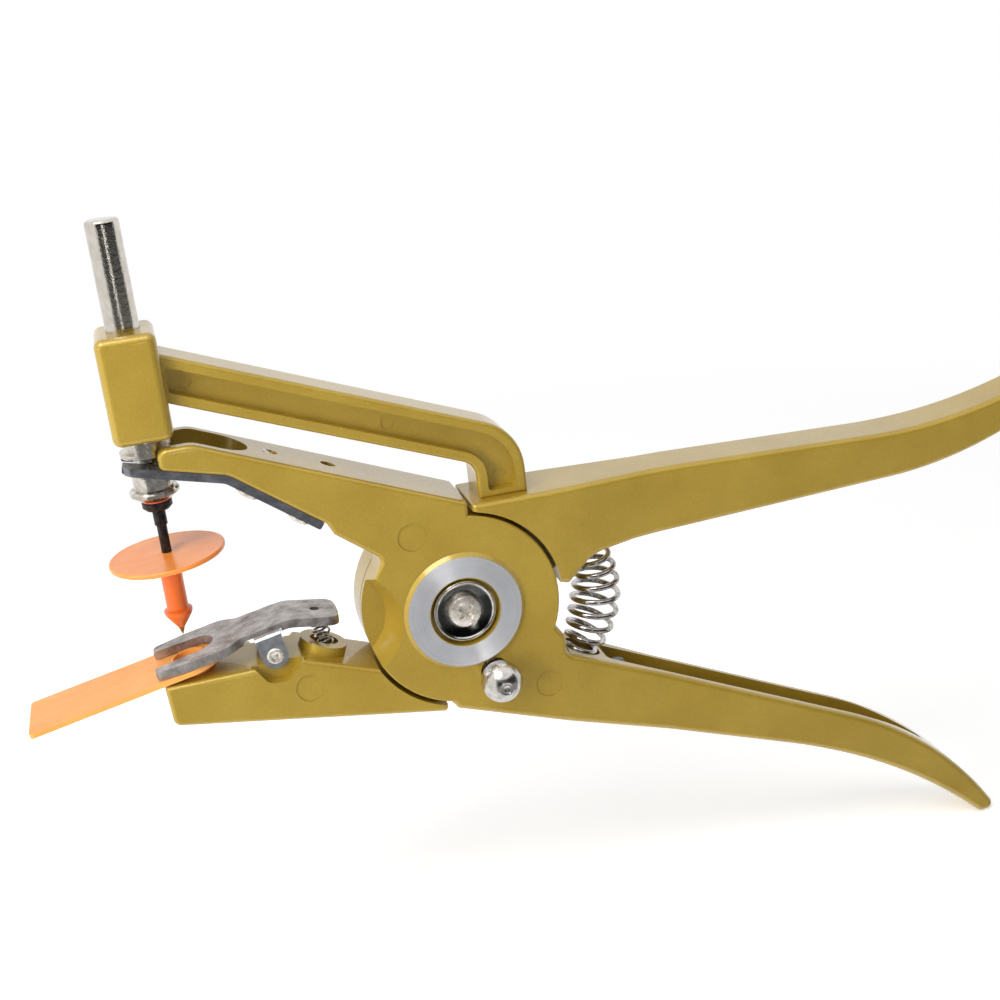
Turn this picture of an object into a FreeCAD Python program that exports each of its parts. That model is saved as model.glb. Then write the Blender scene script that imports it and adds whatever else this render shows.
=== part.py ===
import FreeCAD, Part
import math
import os

from FreeCAD import Vector

# Ear tag applicator: two lap-jointed castings that cross at a hub, like pliers.
# Frame: +X towards the handles, +Y from the front face to the back face, +Z up
# along the plunger. The origin lies on the hinge axis, on the flat back face.
# The tool is drawn fully open, which is how its handle spring holds it.
# Lengths are millimetres and angles are degrees.

# ---------------------------------------------------------------- driving sizes

# castings
cast_t = 20.0            # thickness of hub, jaws and guide block
grip_t = 15.0            # thickness of the handles past their taper
tip_t = 12.6             # thickness of the handles at their tips
taper_rise = 0.0893      # slope of each handle face between hub and grip
wall = 2.8               # channel wall of the handles
floor_t = 3.2            # channel floor of the handles
hub_r = 24.9             # round lap faces of the hub
hub_gap = 1.0            # radial gap round each lap face
jaw_edge_r = 1.2         # rounding of the jaws' edges
grip_edge_r = 1.5        # rounding of the handles' edges
hub_edge_r = 0.6
mark_r = 3.6             # round moulding marks
mark_depth = 0.25
far = 200.0              # beyond the end of every outline

# handles: side outlines run through (x, z, rounding)
upper_tip_x = 175.4
upper_heel = (60.6, 26.3, 60)
upper_crook = (143.0, 22.9, 146)
upper_tip = (175.6, 34.4, 2.0)
upper_tip_low = (174.6, 27.2, 2.2)
upper_crook_low = (148.2, 12.3, 112)
upper_heel_low = (47.0, 8.8, 12)
upper_channel_x = 47.0   # start and end of the upper handle's channel
upper_channel_end_x = 132.0
lower_tip_x = 152.6
lower_crook_low = (119.1, -72.9, 172)
lower_tip_low = (147.6, -99.4, 2.2)
lower_tip = (153.4, -99.2, 2.0)
lower_crook = (132.9, -69.3, 110)
lower_channel_end_x = 131.5
lower_channel_end_z = -82.0

# hinge
barrel_r = 5.0           # pivot barrel, outside
barrel_flange_r = 9.0
barrel_flange_t = 2.2
barrel_bore_r = 2.6      # takes the pivot screw
run_fit = 0.05           # radial clearance of every running fit
seat_fit = 0.05          # clearance of a piece that sits still in its seat
washer_t = 0.5           # thrust washer between the lap faces
thrust_r = 12.0
ring_out_r = 14.7        # turned ring on the front of the hub
ring_in_r = 9.0
ring_h = 0.9
dish_r = 7.6             # dished washer under the pivot screw
dish_t = 1.1
dish_depth = 1.5
screw_head_r = 4.2
screw_head_h = 2.2

# travel
closed_deg = 15.6        # the handles close by this much, which drives the plunger down

# plunger
plunger_x = -68.8        # distance of the plunger from the hinge
rod_d = 7.8
rod_top_z = 107.1
neck_d = 7.0             # groove that the fork plate runs in
collar_d = 12.6
collar_bottom_z = 52.0
collar_t = 4.4           # its top meets the guide block: the open stop
step_d = 9.2             # stepped lower collar
step_top_z = 47.2
step_h = 3.7
flange_d = 11.8
flange_h = 2.5
red_washer_d = 6.8
red_washer_t = 0.6
pin_collar_d = 7.2
pin_collar_h = 2.3
pin_d = 3.1
pin_upper_h = 4.3
pin_tip_d = 2.4
pin_tip_h = 17.5
spigot_d = 4.0

# guide block and arm of the frame casting
block_w = 13.8
block_bottom_z = 56.5
block_h = 25.3
block_edge_r = 2.0
arm_t = 12.0             # thickness of the arm, front to back
arm_h = 10.9             # height of the arm
arm_rib = 2.6            # border left round the arm's side pockets
arm_web = 6.0            # web left between the pockets
arm_slope = 21.9
arm_left_z = 75.9        # top of the arm where it leaves the block
post_x = 8.1             # left side of the post that carries the arm
post_w = 12.6

# upper jaw and fork plate
nose_x = -66.7
nose_h = 4.83            # height of the jaw's nose above the fork plate
nose_len = 8.2           # then the jaw's top slopes down to the hub
bend_x = -51.6           # bend of the fork plate, on its upper face
bend_z = 45.7
plate_slope_1 = 15.1
plate_slope_2 = 38.0
plate_len_1 = 24.0
plate_len_2 = 26.0
plate_t = 2.0
plate_w = 18.6
plate_corner_r = 2.2
fork_gap = 0.5           # clearance of the fork on the plunger's neck
notch_gap = 0.4          # clearance of the jaw notch on the plunger's collar
notch_end_x = -45.6
plate_screw_at = (7.9, 21.9)   # along the lower leg of the plate
plate_screw_d = 3.6
plate_head_d = 6.0
plate_head_h = 1.5
jaw_split_x = 4.2        # end face of the upper jaw
split_gap = 1.0          # gap to the other casting there, the open stop

# lower jaw
jaw_left_x = -75.4
jaw_top_z = -4.0
jaw_bottom_z = -14.4
jaw_slope_x = -41.8      # the top slopes down to the hub from here
jaw_bottom_slope = 10.2
tag_hole_d = 8.4         # lets the barbed head through the lower jaw
tag_seat_gap = 0.8
tag_seat_depth = 4.2

# tags
button_d = 28.0
button_t = 1.3
button_top_z = 27.0
stem_d = 5.2
barb_d = 6.9
barb_z = 11.7             # widest place of the barbed head
barb_tip_z = 5.0
point_h = 2.3            # metal point of the barb
strap_w = 18.6
strap_t = 1.3
strap_slope = 10.6
strap_len = 40.3         # from the button's axis to the free end
strap_top_z = -1.2       # top of the strap on the plunger axis
boss_d = 11.2
boss_h = 3.2
boss_hole_d = 7.4
rim_gap = 0.2            # clearance of the tag's raised rim in the clip's slot

# tag clip
clip_x = -48.1           # clip pin
clip_z = -2.1
clip_pin_d = 3.0
clip_t = 2.2             # thickness of the clip lever
clip_fork_w = 18.8
clip_slot_w = 8.8
clip_slot_end_x = -62.0
clip_neck_w = 13.6
pad_w = 13.2
pad_slope = 9.5
saddle_t = 1.0
ear_w = 6.6
ear_gap = 0.3            # clearance of the ears on the lug
lug_w = 14.4
lug_r = 3.1
clip_gap = 0.2           # clearance of the clip over the strap
scoop_depth = 4.5        # side pocket round each ear, below the jaw's top
spring_boss_x = -35.1
spring_boss_z = -3.8
spring_boss_d = 12.2
spring_boss_hole_d = 6.4
spring_boss_slope = 21.0
clip_spring_d = 4.6
clip_wire = 0.6
clip_spring_low = (-34.6, -6.6)    # ends of the clip spring's axis, in X and Z
clip_spring_high = (-35.9, 2.3)

# lock knob
knob_x = 5.8
knob_z = -18.0
knob_ball_d = 9.4
knob_ball_out = 7.2      # ball centre in front of the hub face
knob_neck_d = 6.4
lock_pin_d = 4.0
lock_travel = 2.0
lock_wire = 0.6
lock_pocket_d = 7.4
lock_pocket_depth = 6.0

# handle spring
spring_arc_r = 38.2      # the spring bends round the hinge at this radius
spring_top_deg = 6.0
spring_bottom_deg = -37.5
spring_mid_d = 12.8
spring_end_d = 8.0
spring_wire = 1.5
spring_turns = 8
seat_gap = 0.5
coil_steps = 12          # sections in each turn of a spring
coil_sides = 6           # corners of a spring's wire
stop_screw_x = 41.3
stop_screw_z = -28.9
stop_screw_head_d = 4.6

# ---------------------------------------------------------------- derived places

y_front = -cast_t
y_mid = -cast_t / 2
y_lap_front = y_mid - washer_t / 2 - seat_fit
y_lap_back = y_mid + washer_t / 2
recess_r = hub_r + hub_gap
handle_split_x = -6.4    # the two castings part here, under the hub

solids = {}


# ---------------------------------------------------------------- helpers

def deg_sin(angle):
    return math.sin(math.radians(angle))


def deg_cos(angle):
    return math.cos(math.radians(angle))


def deg_tan(angle):
    return math.tan(math.radians(angle))


def rounded_wire(corners, place):
    """Closed outline through corners (a, b, radius); place(a, b) gives the 3-D point."""
    edges = []
    count = len(corners)
    ends = []
    for i in range(count):
        a, b, r = corners[i]
        here = Vector(a, b, 0)
        before = Vector(corners[i - 1][0], corners[i - 1][1], 0) - here
        after = Vector(corners[(i + 1) % count][0], corners[(i + 1) % count][1], 0) - here
        before.normalize()
        after.normalize()
        half = before.getAngle(after) / 2
        if r <= 0:
            ends.append((here, None, here))
            continue
        reach = r / math.tan(half)
        middle = (before + after).normalize()
        centre = here + middle * (r / math.sin(half))
        ends.append((here + before * reach, centre - middle * r, here + after * reach))
    for i in range(count):
        start, top, stop = ends[i]
        following = ends[(i + 1) % count][0]
        if top is not None:
            edges.append(Part.Arc(place(start), place(top), place(stop)).toShape())
        if (following - stop).Length > 1e-6:
            edges.append(Part.LineSegment(place(stop), place(following)).toShape())
    return Part.Wire(edges)


def side_prism(corners, y0, y1):
    """Outline in X and Z, extruded from y0 to y1."""
    wire = rounded_wire(corners, lambda p: Vector(p.x, y0, p.y))
    return Part.Face(wire).extrude(Vector(0, y1 - y0, 0))


def plan_prism(corners, z0, z1):
    """Outline in X and Y, extruded from z0 to z1."""
    wire = rounded_wire(corners, lambda p: Vector(p.x, p.y, z0))
    return Part.Face(wire).extrude(Vector(0, 0, z1 - z0))


def cylinder(x, y, z, r, h, direction):
    return Part.makeCylinder(r, h, Vector(x, y, z), direction)


def drum(x, z, r, y0, y1):
    """Cylinder along Y."""
    return cylinder(x, y0, z, r, y1 - y0, Vector(0, 1, 0))


def turned(profile, x, y, z, direction):
    """Revolve the outline (radius, height) about an axis through (x, y, z)."""
    points = [Vector(r, 0, h) for r, h in profile]
    face = Part.Face(Part.makePolygon(points + points[:1]))
    body = face.revolve(Vector(0, 0, 0), Vector(0, 0, 1), 360)
    body.Placement = FreeCAD.Placement(
        Vector(x, y, z), FreeCAD.Rotation(Vector(0, 0, 1), direction))
    return body


def box(x0, x1, y0, y1, z0, z1):
    return Part.makeBox(x1 - x0, y1 - y0, z1 - z0, Vector(x0, y0, z0))


def turn_about(shape, x, z, angle):
    """Turn a shape in the side view, anticlockwise seen from the front."""
    turned_shape = shape.copy()
    turned_shape.rotate(Vector(x, 0, z), Vector(0, -1, 0), angle)
    return turned_shape


def across(face, spot):
    """How squarely a face looks along Y at a spot on it, from 0 to 1."""
    u, v = face.Surface.parameter(spot)
    return abs(face.normalAt(u, v).y)


def soft_rims(shape, radius):
    """Round every edge where the front or back face meets the sides."""
    picked = []
    for edge in shape.Edges:
        spot = edge.valueAt((edge.FirstParameter + edge.LastParameter) / 2)
        looks = [across(f, spot) for f in shape.ancestorsOfType(edge, Part.Face)]
        if max(looks) > 0.8 and min(looks) < 0.3:
            picked.append(edge)
    return shape.makeFillet(radius, picked)


def coil(centre, radius, turns, wire_r):
    """Faceted wire along a helix: centre(t) gives a point and two directions, t from 0 to 1."""
    steps = int(turns * coil_steps)

    def spot(t):
        middle, first, second = centre(t)
        phase = 2 * math.pi * turns * t
        out = first * math.cos(phase) + second * math.sin(phase)
        return middle + out * radius(t), out

    rings = []
    for i in range(steps + 1):
        t = i / steps
        here, out = spot(t)
        ahead = (spot(t + 0.001)[0] - spot(t - 0.001)[0]).normalize()
        side = ahead.cross(out).normalize()
        level = side.cross(ahead)
        corners = []
        for k in range(coil_sides):
            turn = 2 * math.pi * k / coil_sides
            corners.append(here + (level * math.cos(turn) + side * math.sin(turn)) * wire_r)
        rings.append(Part.makePolygon(corners + corners[:1]))
    return Part.makeLoft(rings, True, True)


def keep(name, shape):
    solids[name] = shape


# ---------------------------------------------------------------- castings

def grip_plan(tip_x):
    """Plan outline of a casting: full thickness at the hub, slimmer along the grip."""
    half = cast_t / 2
    grip = grip_t / 2
    tip_half = tip_t / 2
    taper_start = hub_r
    taper_end = hub_r + (half - grip) / taper_rise
    narrow_x = tip_x - 50
    left = -4 * hub_r
    right = tip_x + 1
    return [
        (left, y_mid - half, 0), (taper_start, y_mid - half, 40), (taper_end, y_mid - grip, 40),
        (narrow_x, y_mid - grip, 60), (right, y_mid - tip_half, 4), (right, y_mid + tip_half, 4),
        (narrow_x, y_mid + grip, 60), (taper_end, y_mid + grip, 40),
        (taper_start, y_mid + half, 40), (left, y_mid + half, 0),
    ]


def channel_plan(start_x, end_x):
    """Plan outline of a handle's channel."""
    half = grip_t / 2 - wall
    return [
        (start_x, y_mid - half, 1.5), (end_x - 18, y_mid - half, 20), (end_x, y_mid - 1.2, 1),
        (end_x, y_mid + 1.2, 1), (end_x - 18, y_mid + half, 20), (start_x, y_mid + half, 1.5),
    ]


def upper_grip_side():
    """Side outline of the upper handle, from the hub to its tip."""
    foot_x = jaw_split_x + split_gap
    return [
        (foot_x, hub_r + 2.2, 0.6), upper_heel, upper_crook, upper_tip, upper_tip_low,
        upper_crook_low, upper_heel_low, (hub_r + 10.6, 7.4, 10), (hub_r + 3.1, 1.2, 1.0),
        (hub_r - 4.9, 3.6, 0), (foot_x, 10.0, 0),
    ]


def lower_grip_side():
    """Side outline of the lower handle, from the hub to its tip."""
    start_x = handle_split_x + 0.2
    return [
        (start_x, 0.5 - hub_r, 0.4), (start_x + 1.5, -hub_r - 1.7, 0.6), lower_crook_low,
        lower_tip_low, lower_tip, lower_crook, (hub_r + 0.5, -0.73 * hub_r, 3.0),
        (hub_r + 0.8, -0.538 * hub_r, 2.0), (hub_r - 2.5, -hub_r / 3, 0), (0.0, -hub_r / 2, 0),
    ]


def upper_jaw_side():
    """Side outline of the upper jaw; its underside seats the fork plate."""
    reach = bend_x - nose_x
    knee_x = nose_x + nose_len
    seat_z = bend_z + reach * deg_tan(plate_slope_1)
    top_z = seat_z + nose_h
    tail_x = bend_x + (plate_len_2 + 0.6) * deg_cos(plate_slope_2)
    tail_z = bend_z - (plate_len_2 + 0.6) * deg_sin(plate_slope_2)
    return [
        (nose_x, seat_z, 1.4), (nose_x, top_z, nose_h / 2), (knee_x, top_z, 8),
        (jaw_split_x, hub_r + 3.2, 0.8), (jaw_split_x, hub_r / 3, 0), (-hub_r / 2, hub_r / 3, 0),
        (-0.84 * hub_r, 0.526 * hub_r, 0), (-0.751 * hub_r, 0.715 * hub_r, 2.0),
        (tail_x + 1.4, tail_z - 3.0, 1.2),
        (tail_x, tail_z, 0.5),
        (bend_x, bend_z, 6),
    ]


def lower_jaw_side():
    """Side outline of the lower jaw, flat on top under the tag and sloping to the hub."""
    drop = deg_tan(jaw_bottom_slope)
    end_x = handle_split_x - 0.9
    end_z = jaw_bottom_z - (end_x - jaw_left_x) * drop
    return [
        (jaw_left_x, jaw_top_z, 0.8), (jaw_left_x + 0.6, jaw_bottom_z, 2.0),
        (end_x, end_z, 1.0), (end_x, 2.9 - hub_r, 0), (0.0, -hub_r / 2, 0), (-16.0, -4.0, 0),
        (-0.884 * hub_r, -0.466 * hub_r, 0), (jaw_slope_x, jaw_top_z, 3.0),
    ]


def hub_disc(front):
    """One round lap half of the hub."""
    if front:
        disc = drum(0, 0, hub_r, y_front, y_lap_front)
        rim = [e for e in disc.Edges if abs(e.BoundBox.YMax - y_front) < 1e-3]
    else:
        disc = drum(0, 0, hub_r, y_lap_back, 0)
        rim = [e for e in disc.Edges if abs(e.BoundBox.YMin) < 1e-3]
    return disc.makeFillet(hub_edge_r, rim)


def lap_recess(front):
    """Room that a casting leaves for the other casting's lap half."""
    if front:
        return drum(0, 0, recess_r, y_front - 1, y_lap_back)
    return drum(0, 0, recess_r, y_lap_front, 1)


def arm_top_z(x):
    """Height of the arm's top line at x."""
    left_x = plunger_x + block_w / 2
    return arm_left_z - (x - left_x) * deg_tan(arm_slope)


def arm_side(inset):
    """Side outline of the arm and its post, pulled in by inset on every side."""
    rise = deg_tan(arm_slope)
    tall = (arm_h - 2 * inset) / deg_cos(arm_slope)
    left_x = plunger_x + block_w / 2
    right_x = post_x + post_w - inset
    inner_x = post_x + inset
    foot_z = hub_r + 1.9 + inset * 0.7
    top_left_z = arm_left_z - inset / deg_cos(arm_slope)
    low_left_z = top_left_z - tall
    start_x = left_x - 2 + inset
    shift = start_x - left_x
    out_r = 14.0 - inset * 0.5
    in_r = 4.5 + inset
    return [
        (start_x, top_left_z - shift * rise, 0.8 if inset else 0),
        (right_x, top_left_z - (right_x - left_x) * rise, out_r),
        (right_x, foot_z, 1.0 if inset else 0),
        (inner_x, foot_z, 1.0 if inset else 0),
        (inner_x, low_left_z - (inner_x - left_x) * rise, in_r),
        (start_x, low_left_z - shift * rise, 0.8 if inset else 0),
    ]


def arm():
    """I-section arm and post between the upper handle and the guide block."""
    solid = side_prism(arm_side(0), y_mid - arm_t / 2, y_mid + arm_t / 2)
    solid = soft_rims(solid, 1.0)
    pocket = side_prism(arm_side(arm_rib), y_mid - arm_t / 2 - 1, y_mid - arm_web / 2)
    back_pocket = side_prism(arm_side(arm_rib), y_mid + arm_web / 2, y_mid + arm_t / 2 + 1)
    return solid.cut(pocket).cut(back_pocket)


def guide_block():
    half = block_w / 2
    top_z = block_bottom_z + block_h
    solid = box(plunger_x - half, plunger_x + half, y_front, 0, block_bottom_z, top_z)
    return solid.makeFillet(block_edge_r, solid.Edges)


def moulding_mark(x, z, y, r):
    """Shallow round mark in a front face."""
    return drum(x, z, r, y - mark_depth, y + mark_depth)


def frame_casting():
    """Lower jaw, rear half of the hub, upper handle, arm and guide block in one casting."""
    grip = side_prism(upper_grip_side(), y_front, 0)
    grip = grip.common(plan_prism(grip_plan(upper_tip_x), -far, far))
    grip = soft_rims(grip, grip_edge_r)
    start_x = upper_channel_x
    end_x = upper_channel_end_x
    heel_z = upper_heel[1] - floor_t
    channel_side = [
        (start_x, -10.0, 0), (start_x, heel_z - 2.5, 3), (upper_heel[0], heel_z, 40),
        (end_x, upper_crook[1] + 0.5 - floor_t, 0), (end_x, -10.0, 0),
    ]
    channel = side_prism(channel_side, y_front, 0)
    channel = channel.common(plan_prism(channel_plan(start_x, end_x), -far, far))
    grip = grip.cut(channel)
    jaw = soft_rims(side_prism(lower_jaw_side(), y_front, 0), jaw_edge_r)
    body = grip.fuse(jaw).cut(lap_recess(True)).fuse(hub_disc(False))
    body = body.fuse([arm(), guide_block()])
    body = body.cut(lower_jaw_cuts()).fuse(lower_jaw_bosses())
    body = body.cut(lower_jaw_bores())
    body = body.cut(plunger_bore()).cut(rear_hub_bores()).cut(spring_seat(spring_top_deg, 1))
    marks = [moulding_mark(clip_x + 7.1, jaw_top_z - 7.8, y_front, mark_r)]
    drop = arm_h / 2 / deg_cos(arm_slope)
    web_marks = [(x, arm_top_z(x) - drop) for x in (plunger_x + 11.4, post_x - 19.8)]
    web_marks.append((post_x + post_w / 2, hub_r + 6.7))
    for x, z in web_marks:
        marks.append(moulding_mark(x, z, y_mid - arm_web / 2, 1.7))
    return body.cut(marks).removeSplitter()


def lower_jaw_cuts():
    """Side pockets round the clip's ears, running out softly into the jaw's top."""
    half = lug_w / 2
    low_z = jaw_top_z - scoop_depth
    outline = [
        (clip_x - 9.0, jaw_top_z, 0), (clip_x - 5.4, jaw_top_z, 1.8),
        (clip_x - 2.6, low_z, 3.0), (clip_x + 2.4, low_z, 3.0),
        (clip_x + 6.2, jaw_top_z - 0.1, 1.2), (clip_x + 12.0, jaw_top_z - 2.3, 0),
        (clip_x + 12.0, 6.0, 0), (clip_x - 9.0, 6.0, 0),
    ]
    front = side_prism(outline, y_front - 1, y_mid - half)
    back = side_prism(outline, y_mid + half, 1)
    return front.fuse(back)


def lower_jaw_bosses():
    """Lug for the clip pin and the cup for the clip spring."""
    half = lug_w / 2
    lug = drum(clip_x, clip_z, lug_r, y_mid - half, y_mid + half)
    foot = box(clip_x - lug_r, clip_x + lug_r, y_mid - half, y_mid + half, -8, clip_z)
    tilt = Vector(deg_sin(spring_boss_slope), 0, deg_cos(spring_boss_slope))
    top = Vector(spring_boss_x, y_mid, spring_boss_z)
    low = top - tilt * 8.0
    cup = cylinder(low.x, low.y, low.z, spring_boss_d / 2, 8.0, tilt)
    return lug.fuse([foot, cup])


def lower_jaw_bores():
    """Bores for the barbed head, the female tag's boss, the clip pin and the clip spring."""
    head = cylinder(plunger_x, y_mid, -40, tag_hole_d / 2, 60, Vector(0, 0, 1))
    seat_r = boss_d / 2 + tag_seat_gap
    seat = cylinder(plunger_x, y_mid, jaw_top_z - tag_seat_depth, seat_r, 20, Vector(0, 0, 1))
    pin = drum(clip_x, clip_z, clip_pin_d / 2 + run_fit, y_front, 0)
    low, high = clip_spring_axis()
    cup = cylinder(low.x, low.y, low.z, spring_boss_hole_d / 2, 12.0, high - low)
    return head.fuse([seat, pin, cup])


def plunger_bore():
    low = block_bottom_z - 1
    return cylinder(plunger_x, y_mid, low, rod_d / 2 + run_fit, block_h + 2, Vector(0, 0, 1))


def rear_hub_bores():
    """Seat for the pivot barrel and its flange, and the hole that the lock pin enters."""
    bore = drum(0, 0, barrel_r + seat_fit, y_mid - 2, 1)
    flange = drum(0, 0, barrel_flange_r + seat_fit, -barrel_flange_t - seat_fit, 1)
    lock_x, lock_z = lock_hole_place()
    lock = drum(lock_x, lock_z, lock_pin_d / 2 + 0.3, y_lap_back - 1, -3.0)
    return bore.fuse([flange, lock])


def lock_hole_place():
    """Where the lock pin meets the rear hub half with the handles closed."""
    x = knob_x * deg_cos(closed_deg) - knob_z * deg_sin(closed_deg)
    z = knob_x * deg_sin(closed_deg) + knob_z * deg_cos(closed_deg)
    return x, z


def spring_seat(angle, side):
    """Round seat for one end of the handle spring; side is +1 above it, -1 below it."""
    x = spring_arc_r * deg_cos(angle)
    z = spring_arc_r * deg_sin(angle)
    away = Vector(-deg_sin(angle), 0, deg_cos(angle)) * side
    r = spring_end_d / 2 + spring_wire / 2 + seat_gap
    start = Vector(x, y_mid, z) + away * (spring_wire / 2 + 0.1) - away * 14
    return cylinder(start.x, start.y, start.z, r, 14, away)


def hub_scoop():
    """Lens-shaped relief at the left of the front hub half."""
    return Part.makeCone(15.0, 12.0, 8.0, Vector(-hub_r - 5.9, y_front, 1.6), Vector(0, 1, 0))


def jaw_notch():
    """Slot in the upper jaw that the plunger swings through."""
    half = collar_d / 2 + notch_gap
    low = bend_z - 25
    slot = box(nose_x - 20, notch_end_x - half, y_mid - half, y_mid + half, low, low + 60)
    end = cylinder(notch_end_x - half, y_mid, low, half, 60, Vector(0, 0, 1))
    return slot.fuse(end)


def plate_frame(along):
    """Point on the lower leg's upper face, and its outward normal."""
    downhill = Vector(deg_cos(plate_slope_2), 0, -deg_sin(plate_slope_2))
    normal = Vector(-deg_sin(plate_slope_2), 0, -deg_cos(plate_slope_2))
    spot = Vector(bend_x, y_mid, bend_z) + downhill * along
    return spot, normal


def plate_screw_holes(radius):
    holes = []
    for along in plate_screw_at:
        spot, normal = plate_frame(along)
        start = spot + normal * 10
        holes.append(cylinder(start.x, start.y, start.z, radius, 40, normal * -1))
    return holes


def lever_casting():
    """Upper jaw, front half of the hub and lower handle channel in one casting."""
    grip = side_prism(lower_grip_side(), y_front, 0)
    grip = grip.common(plan_prism(grip_plan(lower_tip_x), -far, far))
    grip = soft_rims(grip, grip_edge_r)
    start_x = stop_screw_x - 3.7
    end_x = lower_channel_end_x
    channel_side = [
        (start_x, 20.0, 0), (start_x, stop_screw_z, 1.0),
        (stop_screw_x + 5.7, stop_screw_z - 4.7, 3.0),
        (stop_screw_x + 7.7, stop_screw_z - 14.3, 3.0),
        (lower_crook_low[0], lower_crook_low[1] + floor_t, 150),
        (end_x, lower_channel_end_z, 0), (end_x, 20.0, 0),
    ]
    channel = side_prism(channel_side, y_front, 0)
    channel = channel.common(plan_prism(channel_plan(start_x, end_x), -far, far))
    grip = grip.cut(channel)
    jaw = soft_rims(side_prism(upper_jaw_side(), y_front, 0), jaw_edge_r).cut(jaw_notch())
    jaw = jaw.cut(plate_screw_holes(plate_screw_d / 2 + seat_fit))
    body = grip.fuse(jaw).cut(lap_recess(False)).fuse(hub_disc(True))
    ring = turned(
        [(ring_in_r, 0), (ring_out_r + ring_h, 0), (ring_out_r, ring_h), (ring_in_r, ring_h)],
        0, y_front, 0, Vector(0, -1, 0))
    body = body.cut(hub_scoop()).fuse(ring)
    body = body.cut(front_hub_bores()).cut(spring_seat(spring_bottom_deg, -1))
    body = body.cut(stop_screw_hole())
    marks = []
    for x, z in ((-0.43 * hub_r, 0.88 * hub_r), (0.795 * hub_r, -hub_r)):
        marks.append(moulding_mark(x, z, y_front, mark_r))
    return body.cut(marks).removeSplitter()


def front_hub_bores():
    """Bore for the barrel, counterbore for the dished washer and the lock pin's pocket."""
    bore = drum(0, 0, barrel_r + run_fit, y_front - 2, y_mid)
    counter = drum(0, 0, ring_in_r, y_front - 2, y_front + dish_depth)
    pin = drum(knob_x, knob_z, lock_pin_d / 2 + run_fit, y_front - 1, y_mid)
    pocket = drum(knob_x, knob_z, lock_pocket_d / 2, y_front - 1, y_front + lock_pocket_depth)
    return bore.fuse([counter, pin, pocket])


def stop_screw_hole():
    direction = Vector(0, 0, -1)
    return cylinder(stop_screw_x, y_mid, stop_screw_z + 4, 1.25 + seat_fit, 10, direction)


# ---------------------------------------------------------------- hinge hardware

def pivot_barrel():
    """Sleeve with a flush flange at the back; the pivot screw threads into its front."""
    end = -(cast_t - dish_depth)
    body = drum(0, 0, barrel_r, end, 0)
    flange = drum(0, 0, barrel_flange_r, -barrel_flange_t, 0)
    bore = drum(0, 0, barrel_bore_r, end - 1, end + 12)
    return body.fuse(flange).cut(bore)


def thrust_washer():
    disc = drum(0, 0, thrust_r, y_mid - washer_t / 2, y_mid + washer_t / 2)
    return disc.cut(drum(0, 0, barrel_r + seat_fit, y_mid - 2, y_mid + 2))


def dished_washer():
    """Nickel washer with a raised rim, bearing on the barrel's end."""
    outer = [
        (barrel_bore_r + seat_fit, 0), (dish_r - 1.2, 0), (dish_r, dish_t + 0.5),
        (dish_r - 0.7, dish_t + 0.5), (dish_r - 1.9, dish_t * 0.7),
        (barrel_bore_r + seat_fit, dish_t * 0.7),
    ]
    return turned(outer, 0, y_front + dish_depth, 0, Vector(0, -1, 0))


def cross_recess(depth, width, reach):
    """Four-armed driver recess, along the axis of a screw whose head top is at height 0."""
    bars = []
    for angle in (0, 90):
        bar = Part.makeBox(reach * 2, width, depth + 1, Vector(-reach, -width / 2, -depth))
        bar.rotate(Vector(0, 0, 0), Vector(0, 0, 1), angle + 25)
        bars.append(bar)
    return bars[0].fuse(bars[1])


def pan_screw(head_r, head_h, shank_r, shank_len):
    """Pan head screw standing on height 0, head upwards."""
    profile = [
        (0, -shank_len), (shank_r, -shank_len), (shank_r, 0), (head_r, 0),
        (head_r, head_h * 0.5), (head_r * 0.86, head_h * 0.86), (head_r * 0.62, head_h),
        (0, head_h),
    ]
    return turned(profile, 0, 0, 0, Vector(0, 0, 1))


def placed(shape, spot, direction):
    shape.Placement = FreeCAD.Placement(spot, FreeCAD.Rotation(Vector(0, 0, 1), direction))
    return shape


def pivot_screw():
    screw = pan_screw(screw_head_r, screw_head_h, barrel_bore_r - seat_fit, 10.5)
    recess = cross_recess(1.3, screw_head_r * 0.26, screw_head_r * 0.62)
    recess.translate(Vector(0, 0, screw_head_h))
    screw = screw.cut(recess)
    seat_y = y_front + dish_depth - dish_t * 0.7
    return placed(screw, Vector(0, seat_y, 0), Vector(0, -1, 0))


# ---------------------------------------------------------------- plunger

def plunger_rod():
    """Chrome rod with its upper collar, the neck that the fork grips and a spigot below."""
    collar_top = collar_bottom_z + collar_t
    spigot_end = step_top_z - step_h - flange_h + 0.6
    rod_r = rod_d / 2
    profile = [
        (0, spigot_end), (spigot_d / 2, spigot_end), (spigot_d / 2, step_top_z),
        (neck_d / 2, step_top_z), (neck_d / 2, collar_bottom_z),
        (collar_d / 2, collar_bottom_z), (collar_d / 2, collar_top), (rod_r, collar_top),
        (rod_r, rod_top_z - 0.5), (rod_r - 0.5, rod_top_z), (0, rod_top_z),
    ]
    return turned(profile, plunger_x, y_mid, 0, Vector(0, 0, 1))


def lower_collar():
    """Stepped collar pressed on the spigot: it takes the push of the fork plate."""
    bore = spigot_d / 2 + seat_fit
    ledge_z = step_top_z - step_h
    low_z = ledge_z - flange_h
    spigot_end = low_z + 0.6
    profile = [
        (bore, step_top_z), (step_d / 2 - 0.3, step_top_z), (step_d / 2, step_top_z - 0.3),
        (step_d / 2, ledge_z), (flange_d / 2 - 0.4, ledge_z), (flange_d / 2, ledge_z - 0.5),
        (flange_d / 2, ledge_z - 1.2), (pin_collar_d / 2 + 0.6, low_z),
        (pin_d / 2 + seat_fit, low_z), (pin_d / 2 + seat_fit, spigot_end - 0.05),
        (bore, spigot_end - 0.05),
    ]
    return turned(profile, plunger_x, y_mid, 0, Vector(0, 0, 1))


def collar_low_z():
    return step_top_z - step_h - flange_h


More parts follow.
